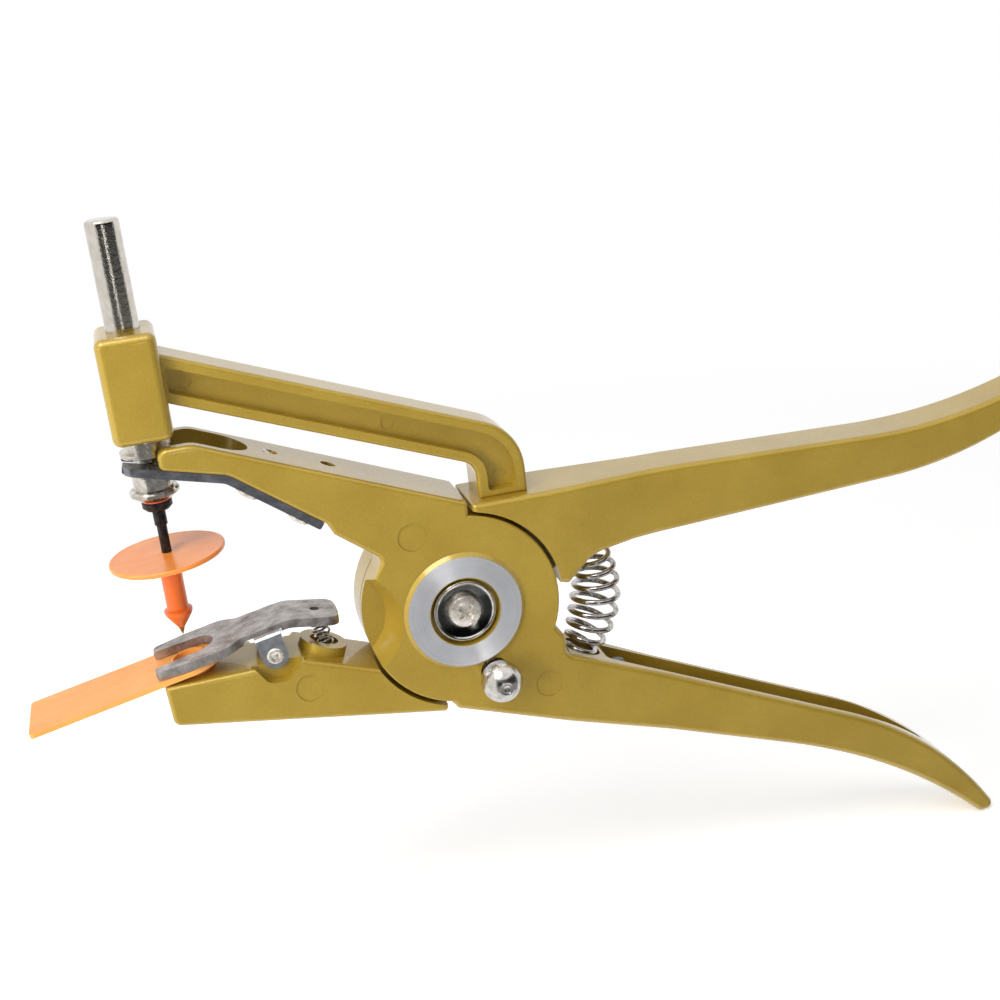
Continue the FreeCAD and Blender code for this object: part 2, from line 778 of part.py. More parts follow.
def red_washer():
    top = collar_low_z()
    profile = [
        (pin_d / 2 + seat_fit, top), (red_washer_d / 2, top),
        (red_washer_d / 2, top - red_washer_t), (pin_d / 2 + seat_fit, top - red_washer_t),
    ]
    return turned(profile, plunger_x, y_mid, 0, Vector(0, 0, 1))


def applicator_pin():
    """Black stepped pin with its collar; the male tag is pushed on its thin end."""
    top = collar_low_z() - red_washer_t
    low = top - pin_collar_h
    shoulder = low - pin_upper_h
    tip = shoulder - pin_tip_h
    root = collar_low_z() + 0.5
    profile = [
        (0, root), (pin_d / 2, root), (pin_d / 2, top), (pin_collar_d / 2 - 0.3, top),
        (pin_collar_d / 2, top - 0.3), (pin_collar_d / 2, low + 0.8),
        (pin_collar_d / 2 - 0.8, low), (pin_d / 2, low), (pin_d / 2, shoulder + 0.4),
        (pin_tip_d / 2, shoulder), (pin_tip_d / 2, tip + 0.5), (pin_tip_d / 2 - 0.4, tip),
        (0, tip),
    ]
    return turned(profile, plunger_x, y_mid, 0, Vector(0, 0, 1))


def male_tag():
    """Round button with a hollow stem and a barbed head, open at the metal point."""
    r = button_d / 2
    top = button_top_z
    low = top - button_t
    bore = pin_tip_d / 2 + seat_fit
    bore_end = collar_low_z() - red_washer_t - pin_collar_h - pin_upper_h - pin_tip_h - 0.3
    point_z = barb_tip_z + point_h
    point_r = point_h * 0.36
    profile = [
        (bore, top), (r - 0.4, top), (r, top - 0.4), (r, low + 0.4), (r - 0.4, low),
        (stem_d / 2, low), (stem_d / 2, barb_z + 0.8), (barb_d / 2 - 0.3, barb_z + 0.5),
        (barb_d / 2, barb_z + 0.1), (barb_d / 2, barb_z - 0.8),
        (barb_d / 2 - 0.5, barb_z - 1.8), (point_r, point_z),
        (0, point_z), (0, bore_end), (bore, bore_end),
    ]
    return turned(profile, plunger_x, y_mid, 0, Vector(0, 0, 1))


def male_tag_point():
    r = point_h * 0.36
    profile = [(0, barb_tip_z), (r, barb_tip_z + point_h), (0, barb_tip_z + point_h)]
    return turned(profile, plunger_x, y_mid, 0, Vector(0, 0, 1))


def female_tag():
    """Strap with a round button end, a boss under it and a hole for the barbed head."""
    half = strap_w / 2
    top = strap_top_z
    low = top - strap_t
    free_x = plunger_x - strap_len
    strap = plan_prism(
        [(free_x, y_mid - half, 1.0), (plunger_x, y_mid - half, 0),
         (plunger_x, y_mid + half, 0), (free_x, y_mid + half, 1.0)], low, top)
    up = Vector(0, 0, 1)
    button = cylinder(plunger_x, y_mid, low, half, strap_t, up)
    boss = cylinder(plunger_x, y_mid, low - boss_h, boss_d / 2, boss_h, up)
    rim = cylinder(plunger_x, y_mid, top, clip_slot_w / 2 - rim_gap, 0.5, up)
    hole = cylinder(plunger_x, y_mid, low - 20, boss_hole_d / 2, 40, up)
    tag = strap.fuse([button, boss, rim])
    tag = turn_about(tag, plunger_x, top, strap_slope)
    return tag.cut(hole)


# ---------------------------------------------------------------- fork plate

def fork_plate():
    """Bent steel plate; its open slot runs in the plunger's neck."""
    a = plate_slope_1
    b = plate_slope_2
    lean = (a + b) / 2
    knee = plate_t / deg_cos((b - a) / 2)
    left = (bend_x - plate_len_1 * deg_cos(a), bend_z + plate_len_1 * deg_sin(a))
    right = (bend_x + plate_len_2 * deg_cos(b), bend_z - plate_len_2 * deg_sin(b))
    down_a = (-plate_t * deg_sin(a), -plate_t * deg_cos(a))
    down_b = (-plate_t * deg_sin(b), -plate_t * deg_cos(b))
    outline = [
        (left[0], left[1], 0.3), (bend_x, bend_z, 6), (right[0], right[1], 0.3),
        (right[0] + down_b[0], right[1] + down_b[1], 0.6),
        (bend_x - knee * deg_sin(lean), bend_z - knee * deg_cos(lean), 4),
        (left[0] + down_a[0], left[1] + down_a[1], 0.6),
    ]
    half = plate_w / 2
    plate = side_prism(outline, y_mid - half, y_mid + half)
    slot_half = neck_d / 2 + fork_gap
    slot_end = closed_fork_x() + neck_d / 2 + 1.2 - slot_half
    low = bend_z - 25
    slot = box(left[0] - 5, slot_end, y_mid - slot_half, y_mid + slot_half, low, low + 60)
    round_end = cylinder(slot_end, y_mid, low, slot_half, 60, Vector(0, 0, 1))
    plate = plate.cut([slot, round_end])
    for side in (-1, 1):
        corner_y = y_mid + side * half
        round_x = left[0] + plate_corner_r
        round_y = corner_y - side * plate_corner_r
        tip = box(left[0] - 5, round_x, min(corner_y, round_y), max(corner_y, round_y),
                  low, low + 60)
        keep_round = cylinder(round_x, round_y, low, plate_corner_r, 60, Vector(0, 0, 1))
        plate = plate.cut(tip.cut(keep_round))
    return plate.cut(plate_screw_holes(plate_screw_d / 2 + seat_fit))


def closed_fork_x():
    """Where the plunger axis crosses the plate, in the lever, with the handles closed."""
    d = bend_x * deg_sin(plate_slope_1) + bend_z * deg_cos(plate_slope_1)
    lean = plate_slope_1 - closed_deg
    z = (d - plunger_x * deg_sin(lean)) / deg_cos(lean)
    return plunger_x * deg_cos(closed_deg) + z * deg_sin(closed_deg)


def plate_screws():
    """Two screws from below, through the plate into the jaw."""
    made = []
    for along in plate_screw_at:
        spot, normal = plate_frame(along)
        screw = pan_screw(plate_head_d / 2, plate_head_h, plate_screw_d / 2 - seat_fit, 10.5)
        made.append(placed(screw, spot + normal * plate_t, normal))
    return Part.makeCompound(made)


# ---------------------------------------------------------------- tag clip

def clip_strap_z(x):
    """Height of the clip's underside over the strap."""
    over = strap_top_z + (x - plunger_x) * deg_tan(strap_slope)
    return over + clip_gap / deg_cos(strap_slope)


def clip_lever():
    """Cast lever: a fork over the tag, a neck over the saddle and a sloping thumb pad."""
    tip_x = plunger_x - 7.8
    crest_x = clip_x + 4.7
    crest_z = clip_strap_z(crest_x)
    pad_x = clip_x + 17.3
    pad_z = crest_z - (pad_x - crest_x) * deg_tan(pad_slope)
    up_a = (-clip_t * deg_sin(strap_slope), clip_t * deg_cos(strap_slope))
    up_b = (clip_t * deg_sin(pad_slope), clip_t * deg_cos(pad_slope))
    lean = (strap_slope - pad_slope) / 2
    knee = clip_t / deg_cos((strap_slope + pad_slope) / 2)
    outline = [
        (tip_x, clip_strap_z(tip_x), 0.5), (crest_x, crest_z, 8), (pad_x, pad_z, 0.5),
        (pad_x + up_b[0], pad_z + up_b[1], 0.8),
        (crest_x - knee * deg_sin(lean), crest_z + knee * deg_cos(lean), 10),
        (tip_x + up_a[0], clip_strap_z(tip_x) + up_a[1], 0.6),
    ]
    side = side_prism(outline, y_front - 5, 5)
    fork = clip_fork_w / 2
    neck = clip_neck_w / 2
    pad = pad_w / 2
    half_plan = [
        (tip_x - 0.6, fork - 1.4, 2.2), (tip_x + 8, fork, 12), (clip_x - 11.3, fork, 5),
        (clip_x - 7.5, neck, 3), (clip_x + 2.1, neck, 0.5), (clip_x + 2.7, pad, 0.3),
        (clip_x + 16.9, pad, 3.0),
    ]
    plan = [(x, y_mid - reach, r) for x, reach, r in half_plan]
    plan.append((clip_x + 17.7, y_mid, 12))
    plan.extend((x, y_mid + reach, r) for x, reach, r in reversed(half_plan))
    lever = side.common(plan_prism(plan, -40, 40))
    half = clip_slot_w / 2
    end_x = clip_slot_end_x - half
    out_x = tip_x - 20
    mouth = [(out_x, y_mid - half - 3, 0), (tip_x + 1, y_mid - half - 0.6, 6),
             (end_x, y_mid - half, 0), (end_x, y_mid + half, 0),
             (tip_x + 1, y_mid + half + 0.6, 6), (out_x, y_mid + half + 3, 0)]
    slot = plan_prism(mouth, -40, 40)
    slot = slot.fuse(cylinder(end_x, y_mid, -40, half, 80, Vector(0, 0, 1)))
    dimple = cylinder(clip_x + 11.9, y_mid, pad_z + 1.5, 1.2, 10, Vector(0, 0, 1))
    return lever.cut([slot, dimple, saddle_groove()])


def saddle_groove():
    """Shallow groove across the underside of the clip lever's neck."""
    left_x = clip_x - ear_w / 2 - 3.6
    right_x = clip_x + ear_w / 2 - 0.6
    low = clip_gap + 4.0
    outline = [(left_x, clip_strap_z(left_x) - low, 0), (right_x, clip_strap_z(right_x) - low, 0),
               (right_x, clip_strap_z(right_x) + saddle_t, 0.4),
               (left_x, clip_strap_z(left_x) + saddle_t, 0.8)]
    return side_prism(outline, y_front - 5, 5)


def clip_saddle():
    """Sheet steel bridge under the clip lever with an ear down each side."""
    inner = lug_w / 2 + ear_gap
    outer = inner + saddle_t
    bridge_x = clip_x - 1.2
    bridge_z = clip_strap_z(bridge_x) + saddle_t
    section = [
        (y_mid - outer, bridge_z - 12, 0), (y_mid - outer, bridge_z + 3, 1.6),
        (y_mid + outer, bridge_z + 3, 1.6), (y_mid + outer, bridge_z - 12, 0),
        (y_mid + inner, bridge_z - 12, 0), (y_mid + inner, bridge_z + 3 - saddle_t, 0.6),
        (y_mid - inner, bridge_z + 3 - saddle_t, 0.6), (y_mid - inner, bridge_z - 12, 0),
    ]
    left_x = bridge_x - ear_w / 2
    wire = rounded_wire(section, lambda p: Vector(left_x, p.x, p.y))
    sheet = Part.Face(wire).extrude(Vector(ear_w, 0, 0))
    sheet.translate(Vector(0, 0, -3))
    return turn_about(sheet, bridge_x, bridge_z, strap_slope)


def clip_saddle_trimmed():
    """The saddle with its ears cut round about the pin, and bored for it."""
    sheet = clip_saddle()
    r = ear_w / 2
    lean = Vector(-deg_sin(strap_slope), 0, deg_cos(strap_slope))
    side = Vector(deg_cos(strap_slope), 0, deg_sin(strap_slope))
    centre = Vector(clip_x, 0, clip_z)
    corners = [centre - side * r, centre + side * r,
               centre + side * (r + 2) + lean * 12, centre - side * (r + 2) + lean * 12]
    outline = [(p.x, p.z, 0) for p in corners]
    room = side_prism(outline, y_front - 5, 5).fuse(drum(clip_x, clip_z, r, y_front - 5, 5))
    sheet = sheet.common(room)
    return sheet.cut(drum(clip_x, clip_z, clip_pin_d / 2 + seat_fit, y_front - 5, 5))


def clip_pin():
    """Pin across the ears and the lug, with a low head at each end."""
    outer = lug_w / 2 + ear_gap + saddle_t
    pin = drum(clip_x, clip_z, clip_pin_d / 2, y_mid - outer - 0.5, y_mid + outer + 0.5)
    ends = [e for e in pin.Edges if e.BoundBox.YLength < 1e-3]
    return pin.makeChamfer(0.4, ends)


def clip_spring_axis():
    low = Vector(clip_spring_low[0], y_mid, clip_spring_low[1])
    high = Vector(clip_spring_high[0], y_mid, clip_spring_high[1])
    return low, high


def clip_spring():
    """Compression spring between the cup in the lower jaw and the thumb pad."""
    low, high = clip_spring_axis()
    axis = high - low
    length = axis.Length
    axis.normalize()
    start = low + axis * (clip_wire / 2 + 0.1)
    rise = length - clip_wire - 0.2
    across = Vector(0, 1, 0)
    other = axis.cross(across)
    return coil(lambda t: (start + axis * (rise * t), across, other),
                lambda t: (clip_spring_d - clip_wire) / 2, 5, clip_wire / 2)


# ---------------------------------------------------------------- lock

def lock_knob():
    """Ball head on a stepped neck that slides in the front hub pocket."""
    ball_y = y_front - knob_ball_out
    ball = Part.makeSphere(knob_ball_d / 2, Vector(knob_x, ball_y, knob_z))
    face = drum(knob_x, knob_z, knob_ball_d, ball_y - knob_ball_d, ball_y - knob_ball_d * 0.465)
    ball = ball.cut(face)
    neck = drum(knob_x, knob_z, knob_neck_d / 2 - 0.6, ball_y, y_front - lock_travel - 0.3)
    skirt = drum(knob_x, knob_z, knob_neck_d / 2, y_front - lock_travel - 1.2,
                 y_front + 0.8 - lock_travel + 1.0)
    bore = drum(knob_x, knob_z, lock_pin_d / 2 + seat_fit, ball_y, y_front + 3)
    return ball.fuse([neck, skirt]).cut(bore)


def lock_pin():
    """Pin pressed in the knob; its groove takes the retaining ring."""
    start = y_front - knob_ball_out
    stop = y_lap_front - lock_travel - 0.3
    return drum(knob_x, knob_z, lock_pin_d / 2, start, stop)


def lock_spring():
    """Spring between the pocket floor and the knob's skirt."""
    start = y_front + 1.0 - lock_travel + 0.8 + lock_wire / 2
    stop = y_front + lock_pocket_depth - lock_wire / 2 - 0.05
    middle = (lock_pocket_d / 2 + lock_pin_d / 2) / 2
    along = Vector(0, 1, 0)
    low = Vector(knob_x, start, knob_z)
    return coil(lambda t: (low + along * ((stop - start) * t), Vector(1, 0, 0), Vector(0, 0, 1)),
                lambda t: middle, 4, lock_wire / 2)


# ---------------------------------------------------------------- handle spring

def handle_spring():
    """Barrel spring bent round the hinge, between the two handles."""
    def centre(t):
        angle = spring_bottom_deg + (spring_top_deg - spring_bottom_deg) * t
        out = Vector(deg_cos(angle), 0, deg_sin(angle))
        return Vector(0, y_mid, 0) + out * spring_arc_r, out, Vector(0, 1, 0)

    def radius(t):
        swell = (spring_mid_d - spring_end_d) * math.sin(math.pi * t)
        return (spring_end_d + swell - spring_wire) / 2

    return coil(centre, radius, spring_turns, spring_wire / 2)


def stop_screw():
    screw = pan_screw(stop_screw_head_d / 2, 1.7, 1.25, 5.5)
    return placed(screw, Vector(stop_screw_x, y_mid, stop_screw_z), Vector(0, 0, 1))


# ---------------------------------------------------------------- build

keep("frame_casting", frame_casting())
keep("lever_casting", lever_casting())
keep("pivot_barrel", pivot_barrel())
keep("thrust_washer", thrust_washer())
keep("dished_washer", dished_washer())
keep("pivot_screw", pivot_screw())
keep("plunger_rod", plunger_rod())
keep("lower_collar", lower_collar())
keep("red_washer", red_washer())
keep("applicator_pin", applicator_pin())
keep("male_tag", male_tag())
keep("male_tag_point", male_tag_point())
keep("female_tag", female_tag())
keep("fork_plate", fork_plate())
keep("plate_screws", plate_screws())
keep("clip_lever", clip_lever())
keep("clip_saddle", clip_saddle_trimmed())
keep("clip_pin", clip_pin())
keep("clip_spring", clip_spring())
keep("lock_knob", lock_knob())
keep("lock_pin", lock_pin())
keep("lock_spring", lock_spring())
keep("handle_spring", handle_spring())
keep("stop_screw", stop_screw())

os.makedirs("parts", exist_ok=True)
for name, shape in solids.items():
    shape.exportStep("parts/" + name + ".step")
    sound = shape.isValid() and len(shape.Solids) > 0
    print(name, "solids", len(shape.Solids), "volume", round(shape.Volume, 1), "ok" if sound else "BAD")
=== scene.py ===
import math

import bmesh
import bpy
from mathutils import Matrix, Vector

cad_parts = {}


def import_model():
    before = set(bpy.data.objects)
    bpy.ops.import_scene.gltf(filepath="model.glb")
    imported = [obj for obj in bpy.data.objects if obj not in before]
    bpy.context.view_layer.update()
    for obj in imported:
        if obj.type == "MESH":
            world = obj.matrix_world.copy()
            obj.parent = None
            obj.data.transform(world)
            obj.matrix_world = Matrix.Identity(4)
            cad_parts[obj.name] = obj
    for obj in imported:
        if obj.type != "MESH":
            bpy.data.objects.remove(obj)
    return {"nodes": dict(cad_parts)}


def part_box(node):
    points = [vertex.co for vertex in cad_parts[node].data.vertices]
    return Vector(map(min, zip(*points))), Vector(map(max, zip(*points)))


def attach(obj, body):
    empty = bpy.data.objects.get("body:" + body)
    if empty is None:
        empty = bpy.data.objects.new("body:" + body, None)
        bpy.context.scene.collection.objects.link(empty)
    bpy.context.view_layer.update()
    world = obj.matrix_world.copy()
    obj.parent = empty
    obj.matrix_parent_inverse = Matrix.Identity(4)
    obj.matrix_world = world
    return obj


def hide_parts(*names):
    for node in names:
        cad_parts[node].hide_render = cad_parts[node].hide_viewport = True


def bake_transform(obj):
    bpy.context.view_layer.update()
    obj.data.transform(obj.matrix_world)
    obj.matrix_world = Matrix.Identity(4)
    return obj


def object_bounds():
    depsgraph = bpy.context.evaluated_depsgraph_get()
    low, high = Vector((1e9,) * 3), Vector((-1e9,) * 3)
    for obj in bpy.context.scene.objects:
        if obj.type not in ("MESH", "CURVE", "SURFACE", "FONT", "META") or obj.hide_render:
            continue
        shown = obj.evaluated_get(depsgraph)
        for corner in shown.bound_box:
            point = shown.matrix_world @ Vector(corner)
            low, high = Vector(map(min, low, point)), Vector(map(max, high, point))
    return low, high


# Ear tag applicator, dressed on its CAD frame. +X to the handles, +Z up along the plunger.
# Sizes on the object are in millimetres, times MM; the stage round it is in metres.

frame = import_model()
cad_low, cad_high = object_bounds()
MM = 0.001
MID_Y = -10.0                 # middle plane of the castings
HUB_FRONT = -20.0             # front face of the castings
TOWARDS_VIEW = (0, -1, 0)
UP = (0, 0, 1)


# ---------------------------------------------------------------- finishes

class Finish:
    """A Principled material whose patterns are laid out in millimetres on the object."""

    def __init__(self, name, **sockets):
        self.material = bpy.data.materials.new(name)
        self.material.use_nodes = True
        self.tree = self.material.node_tree
        self.shader = self.tree.nodes["Principled BSDF"]
        self.spot = 0
        for key, value in sockets.items():
            self.shader.inputs[key.replace("_", " ")].default_value = value
        place = self.node("ShaderNodeTexCoord")
        scale = self.node("ShaderNodeMapping")
        scale.inputs["Scale"].default_value = (1 / MM,) * 3
        self.link(place.outputs["Object"], scale.inputs["Vector"])
        self.mm = scale.outputs["Vector"]
        self.normal = None

    def node(self, kind):
        made = self.tree.nodes.new(kind)
        self.spot -= 180
        made.location = (self.spot, 0)
        return made

    def link(self, a, b):
        self.tree.links.new(a, b)

    def feed(self, key, source):
        self.link(source, self.shader.inputs[key])

    def stretched(self, factors):
        turn = self.node("ShaderNodeMapping")
        turn.inputs["Scale"].default_value = factors
        self.link(self.mm, turn.inputs["Vector"])
        return turn.outputs["Vector"]

    def noise(self, scale, detail=2.0, where=None, rough=0.5):
        made = self.node("ShaderNodeTexNoise")
        made.inputs["Scale"].default_value = scale
        made.inputs["Detail"].default_value = detail
        made.inputs["Roughness"].default_value = rough
        self.link(where or self.mm, made.inputs["Vector"])
        return made.outputs["Fac"]

    def cells(self, scale, where=None, output="Distance"):
        made = self.node("ShaderNodeTexVoronoi")
        made.inputs["Scale"].default_value = scale
        self.link(where or self.mm, made.inputs["Vector"])
        return made.outputs[output]

    def axis(self, letter):
        made = self.node("ShaderNodeSeparateXYZ")
        self.link(self.mm, made.inputs[0])
        return made.outputs[letter]

    def math(self, kind, a, b=0.0):
        made = self.node("ShaderNodeMath")
        made.operation = kind
        for i, value in enumerate((a, b)):
            if isinstance(value, (int, float)):
                made.inputs[i].default_value = value
            else:
                self.link(value, made.inputs[i])
        return made.outputs[0]

    def radius(self, x, z):
        """Distance in millimetres from the line along Y through (x, z)."""
        dx = self.math("SUBTRACT", self.axis("X"), x)
        dz = self.math("SUBTRACT", self.axis("Z"), z)
        dx = self.math("MULTIPLY", dx, dx)
        dz = self.math("MULTIPLY", dz, dz)
        return self.math("SQRT", self.math("ADD", dx, dz))

    def span(self, source, low, high, start, stop):
        made = self.node("ShaderNodeMapRange")
        limits = (("From Min", low), ("From Max", high), ("To Min", start), ("To Max", stop))
        for key, value in limits:
            made.inputs[key].default_value = value
        self.link(source, made.inputs["Value"])
        return made.outputs["Result"]

    def ramp(self, source, *stops):
        """Colours along the source: each stop is (place, (r, g, b))."""
        made = self.node("ShaderNodeValToRGB")
        ramp = made.color_ramp
        while len(ramp.elements) < len(stops):
            ramp.elements.new(1.0)
        for element, (place, colour) in zip(ramp.elements, stops):
            element.position = place
            element.color = (*colour, 1.0)
        self.link(source, made.inputs["Fac"])
        return made.outputs["Color"]

    def tint(self, colour, source, low, high):
        """A colour made darker or lighter by the source, from low to high times."""
        return self.times(colour, self.ramp(source, (0.3, (low,) * 3), (0.7, (high,) * 3)))

    def times(self, colour, other):
        made = self.node("ShaderNodeMix")
        made.data_type = "RGBA"
        made.blend_type = "MULTIPLY"
        made.inputs["Factor"].default_value = 1.0
        self.link(colour, made.inputs["A"])
        self.link(other, made.inputs["B"])
        return made.outputs["Result"]

    def bump(self, height, distance, strength=1.0):
        made = self.node("ShaderNodeBump")
        made.inputs["Strength"].default_value = strength
        made.inputs["Distance"].default_value = distance * MM
        self.link(height, made.inputs["Height"])
        if self.normal is not None:
            self.link(self.normal, made.inputs["Normal"])
        self.normal = made.outputs["Normal"]
        self.feed("Normal", self.normal)


def gold_paint():
    f = Finish("gold_paint", Metallic=0.30, Coat_Weight=0.75, Coat_Roughness=0.07, Coat_IOR=1.5)
    cloud = f.noise(0.06, 3)
    base = f.ramp(cloud, (0.35, (0.412, 0.272, 0.028)), (0.65, (0.462, 0.312, 0.038)))
    flake = f.cells(4.5, output="Color")
    f.feed("Base Color", f.tint(base, flake, 0.94, 1.05))
    f.feed("Roughness", f.span(f.noise(0.9, 2), 0.3, 0.7, 0.31, 0.40))
    f.bump(f.noise(0.5, 2), 0.028)
    f.bump(f.noise(3.2, 1), 0.003)
    return f.material


def plated(name, colour, dark, rough_low, rough_high, pit=0.012, wave=0.02, metal=1.0):
    """Plating with clouding, tiny pits and a soft waviness; pit and wave are depths in mm."""
    f = Finish(name, Metallic=metal)
    f.feed("Base Color", f.ramp(f.noise(0.5, 4), (0.35, dark), (0.62, colour)))
    f.feed("Roughness", f.span(f.noise(1.3, 3), 0.35, 0.65, rough_low, rough_high))
    f.bump(f.noise(0.55, 2), wave)
    f.bump(f.span(f.cells(2.2), 0.05, 0.22, 0.0, 1.0), pit)
    return f.material


def chrome_rod():
    """Chrome over coarse stock: the plating is lumpy along the rod."""
    f = Finish("chrome_rod", Metallic=1.0)
    f.feed("Base Color", f.ramp(f.noise(0.4, 3), (0.35, (0.57, 0.53, 0.47)),
                                (0.65, (0.68, 0.64, 0.57))))
    f.feed("Roughness", f.span(f.noise(1.0, 2), 0.3, 0.7, 0.05, 0.12))
    f.bump(f.noise(1.5, 4, rough=0.65), 0.055)
    f.bump(f.span(f.cells(1.9), 0.08, 0.3, 0.0, 1.0), 0.012)
    return f.material


def cast_clip():
    """Tumbled casting: grey skin, darker hollows, bright rubbed spots."""
    f = Finish("cast_clip", Metallic=0.85)
    stain = f.noise(0.26, 5, f.stretched((0.8, 1.0, 0.8)), rough=0.58)
    base = f.ramp(stain, (0.33, (0.22, 0.195, 0.178)), (0.46, (0.40, 0.370, 0.35)),
                  (0.56, (0.50, 0.475, 0.46)), (0.70, (0.62, 0.60, 0.585)))
    grain = f.noise(2.6, 4, rough=0.7)
    f.feed("Base Color", f.tint(base, grain, 0.72, 1.12))
    f.feed("Roughness", f.span(f.noise(0.8, 3), 0.3, 0.7, 0.34, 0.56))
    f.bump(f.noise(0.45, 3), 0.20)
    f.bump(grain, 0.05)
    f.bump(f.span(f.cells(0.9), 0.03, 0.16, 0.0, 1.0), 0.06)
    return f.material


def dark_plate():
    """Blued sheet steel of the fork plate, mottled and rubbed."""
    f = Finish("dark_plate", Metallic=0.95)
    mottle = f.noise(0.35, 5, rough=0.62)
    f.feed("Base Color", f.ramp(mottle, (0.32, (0.17, 0.175, 0.195)), (0.55, (0.27, 0.275, 0.30)),
                                (0.72, (0.40, 0.405, 0.43))))
    f.feed("Roughness", f.span(f.noise(1.1, 3), 0.3, 0.7, 0.26, 0.46))
    f.bump(f.noise(1.6, 3), 0.02)
    return f.material


def black_pin():
    f = Finish("black_pin", Metallic=0.6)
    f.feed("Base Color", f.ramp(f.noise(0.8, 4), (0.35, (0.012, 0.011, 0.011)),
                                (0.68, (0.05, 0.043, 0.042))))
    f.feed("Roughness", f.span(f.noise(1.4, 3), 0.3, 0.7, 0.26, 0.5))
    f.bump(f.noise(2.4, 4, rough=0.7), 0.03)
    return f.material


def orange_plastic(name, deep, pale, soft, sheen, painted_shade_below=None):
    """Flexible tag plastic: slightly translucent, with faint moulding flow and fine grain.

    Below the height painted_shade_below, in millimetres, the colour is darkened and deepened:
    painted shade on the stem under the button, so the button above reads paler as painted light.
    """
    f = Finish(name, Subsurface_Weight=soft, Subsurface_Scale=0.0022, IOR=1.47,
               Coat_Weight=sheen, Coat_Roughness=0.28, Coat_IOR=1.6)
    f.shader.inputs["Subsurface Radius"].default_value = (1.0, 0.35, 0.12)
    flow = f.noise(0.09, 3, f.stretched((1.0, 2.6, 1.0)))
    base = f.ramp(flow, (0.3, deep), (0.7, pale))
    base = f.tint(base, f.noise(1.6, 3), 0.97, 1.03)
    if painted_shade_below is not None:
        # painted shade: the tag is darker and deeper orange below the button, and paler above it as
        # painted light
        rise = f.span(f.axis("Z"), painted_shade_below - 1.5, painted_shade_below + 1.5, 0.0, 1.0)
        base = f.times(base, f.ramp(rise, (0.35, (0.84, 0.46, 0.12)), (0.65, (1.0, 1.0, 1.0))))
    f.feed("Base Color", base)
    f.feed("Roughness", f.span(f.noise(0.7, 3), 0.3, 0.7, 0.32, 0.46))
    f.bump(f.noise(0.5, 2), 0.02)
    f.bump(f.noise(5.0, 2), 0.004)
    return f.material


def red_rubber():
    f = Finish("red_rubber")
    f.feed("Base Color", f.ramp(f.noise(0.9, 3), (0.3, (0.55, 0.075, 0.030)),
                                (0.7, (0.74, 0.13, 0.055))))
    f.feed("Roughness", f.span(f.noise(1.8, 2), 0.3, 0.7, 0.38, 0.55))
    f.bump(f.noise(3.0, 2), 0.01)
    return f.material


def brass():
    f = Finish("brass", Metallic=1.0)
    f.feed("Base Color", f.ramp(f.noise(0.8, 4), (0.32, (0.36, 0.24, 0.07)),
                                (0.68, (0.66, 0.48, 0.2))))
    f.feed("Roughness", f.span(f.noise(1.5, 3), 0.3, 0.7, 0.2, 0.4))
    f.bump(f.noise(2.2, 3), 0.015)
    return f.material


def turned_aluminium():
    """Lathe-turned face: fine rings of uneven depth round the hinge axis."""
    f = Finish("turned_aluminium", Metallic=0.80, Anisotropic=0.90, Anisotropic_Rotation=0.25)
    r = f.radius(0.0, 0.0)
    rings = f.node("ShaderNodeTexNoise")
    rings.noise_dimensions = "1D"
    rings.inputs["Scale"].default_value = 3.0
    rings.inputs["Detail"].default_value = 5.0
    rings.inputs["Roughness"].default_value = 0.75
    f.link(r, rings.inputs["W"])
    fine = rings.outputs["Fac"]
    cloud = f.noise(0.16, 3)
    base = f.ramp(fine, (0.30, (0.72, 0.73, 0.77)), (0.70, (0.88, 0.885, 0.92)))
    f.feed("Base Color", f.tint(base, cloud, 0.94, 1.05))
    f.feed("Roughness", f.span(fine, 0.3, 0.7, 0.42, 0.55))
    lie = f.node("ShaderNodeTangent")
    lie.direction_type = "RADIAL"
    lie.axis = "Y"
    f.feed("Tangent", lie.outputs[0])
    f.bump(fine, 0.012)
    return f.material


def nickel_painted_reflection():
    """Nickel washer: its colour by radius paints a bright highlight on the rim and a dark
    reflection in the polished dish.
    """
    f = Finish("nickel_painted_reflection", Metallic=1.0)
    r = f.math("ADD", f.radius(0.0, 0.0), f.math("MULTIPLY", f.noise(0.5, 2), 0.25))
    # painted reflection: dark grey in the dish, with a painted highlight on the rim, set by radius
    place = f.span(r, 3.0, 8.0, 0.0, 1.0)
    base = f.ramp(place, (0.36, (0.30, 0.29, 0.27)), (0.44, (0.13, 0.13, 0.12)),
                  (0.70, (0.08, 0.08, 0.075)), (0.80, (0.10, 0.10, 0.10)),
                  (0.86, (0.72, 0.70, 0.66)))
    f.feed("Base Color", f.tint(base, f.noise(0.9, 4), 0.75, 1.2))
    f.feed("Roughness", f.span(f.noise(1.2, 3), 0.3, 0.7, 0.10, 0.2))
    f.bump(f.noise(0.8, 2), 0.012)
    return f.material


GOLD = gold_paint()
CHROME_ROD = chrome_rod()
CHROME = plated("chrome", (0.82, 0.80, 0.78), (0.62, 0.60, 0.58), 0.05, 0.14)
NICKEL = plated("nickel", (0.76, 0.72, 0.65), (0.46, 0.42, 0.37), 0.12, 0.26, pit=0.03, wave=0.06)
SPRING = plated("spring_wire", (0.60, 0.575, 0.55), (0.30, 0.28, 0.265), 0.08, 0.2,
                pit=0.008, wave=0.03)
KNOB = plated("knob_chrome", (0.72, 0.695, 0.655), (0.52, 0.50, 0.47), 0.19, 0.26,
              pit=0.003, wave=0.003)
HEAD = plated("screw_nickel", (0.90, 0.85, 0.77), (0.66, 0.61, 0.54), 0.22, 0.34,
              pit=0.006, wave=0.012, metal=0.72)
ZINC = plated("zinc_steel", (0.62, 0.63, 0.66), (0.40, 0.41, 0.44), 0.18, 0.32, pit=0.01, wave=0.02)
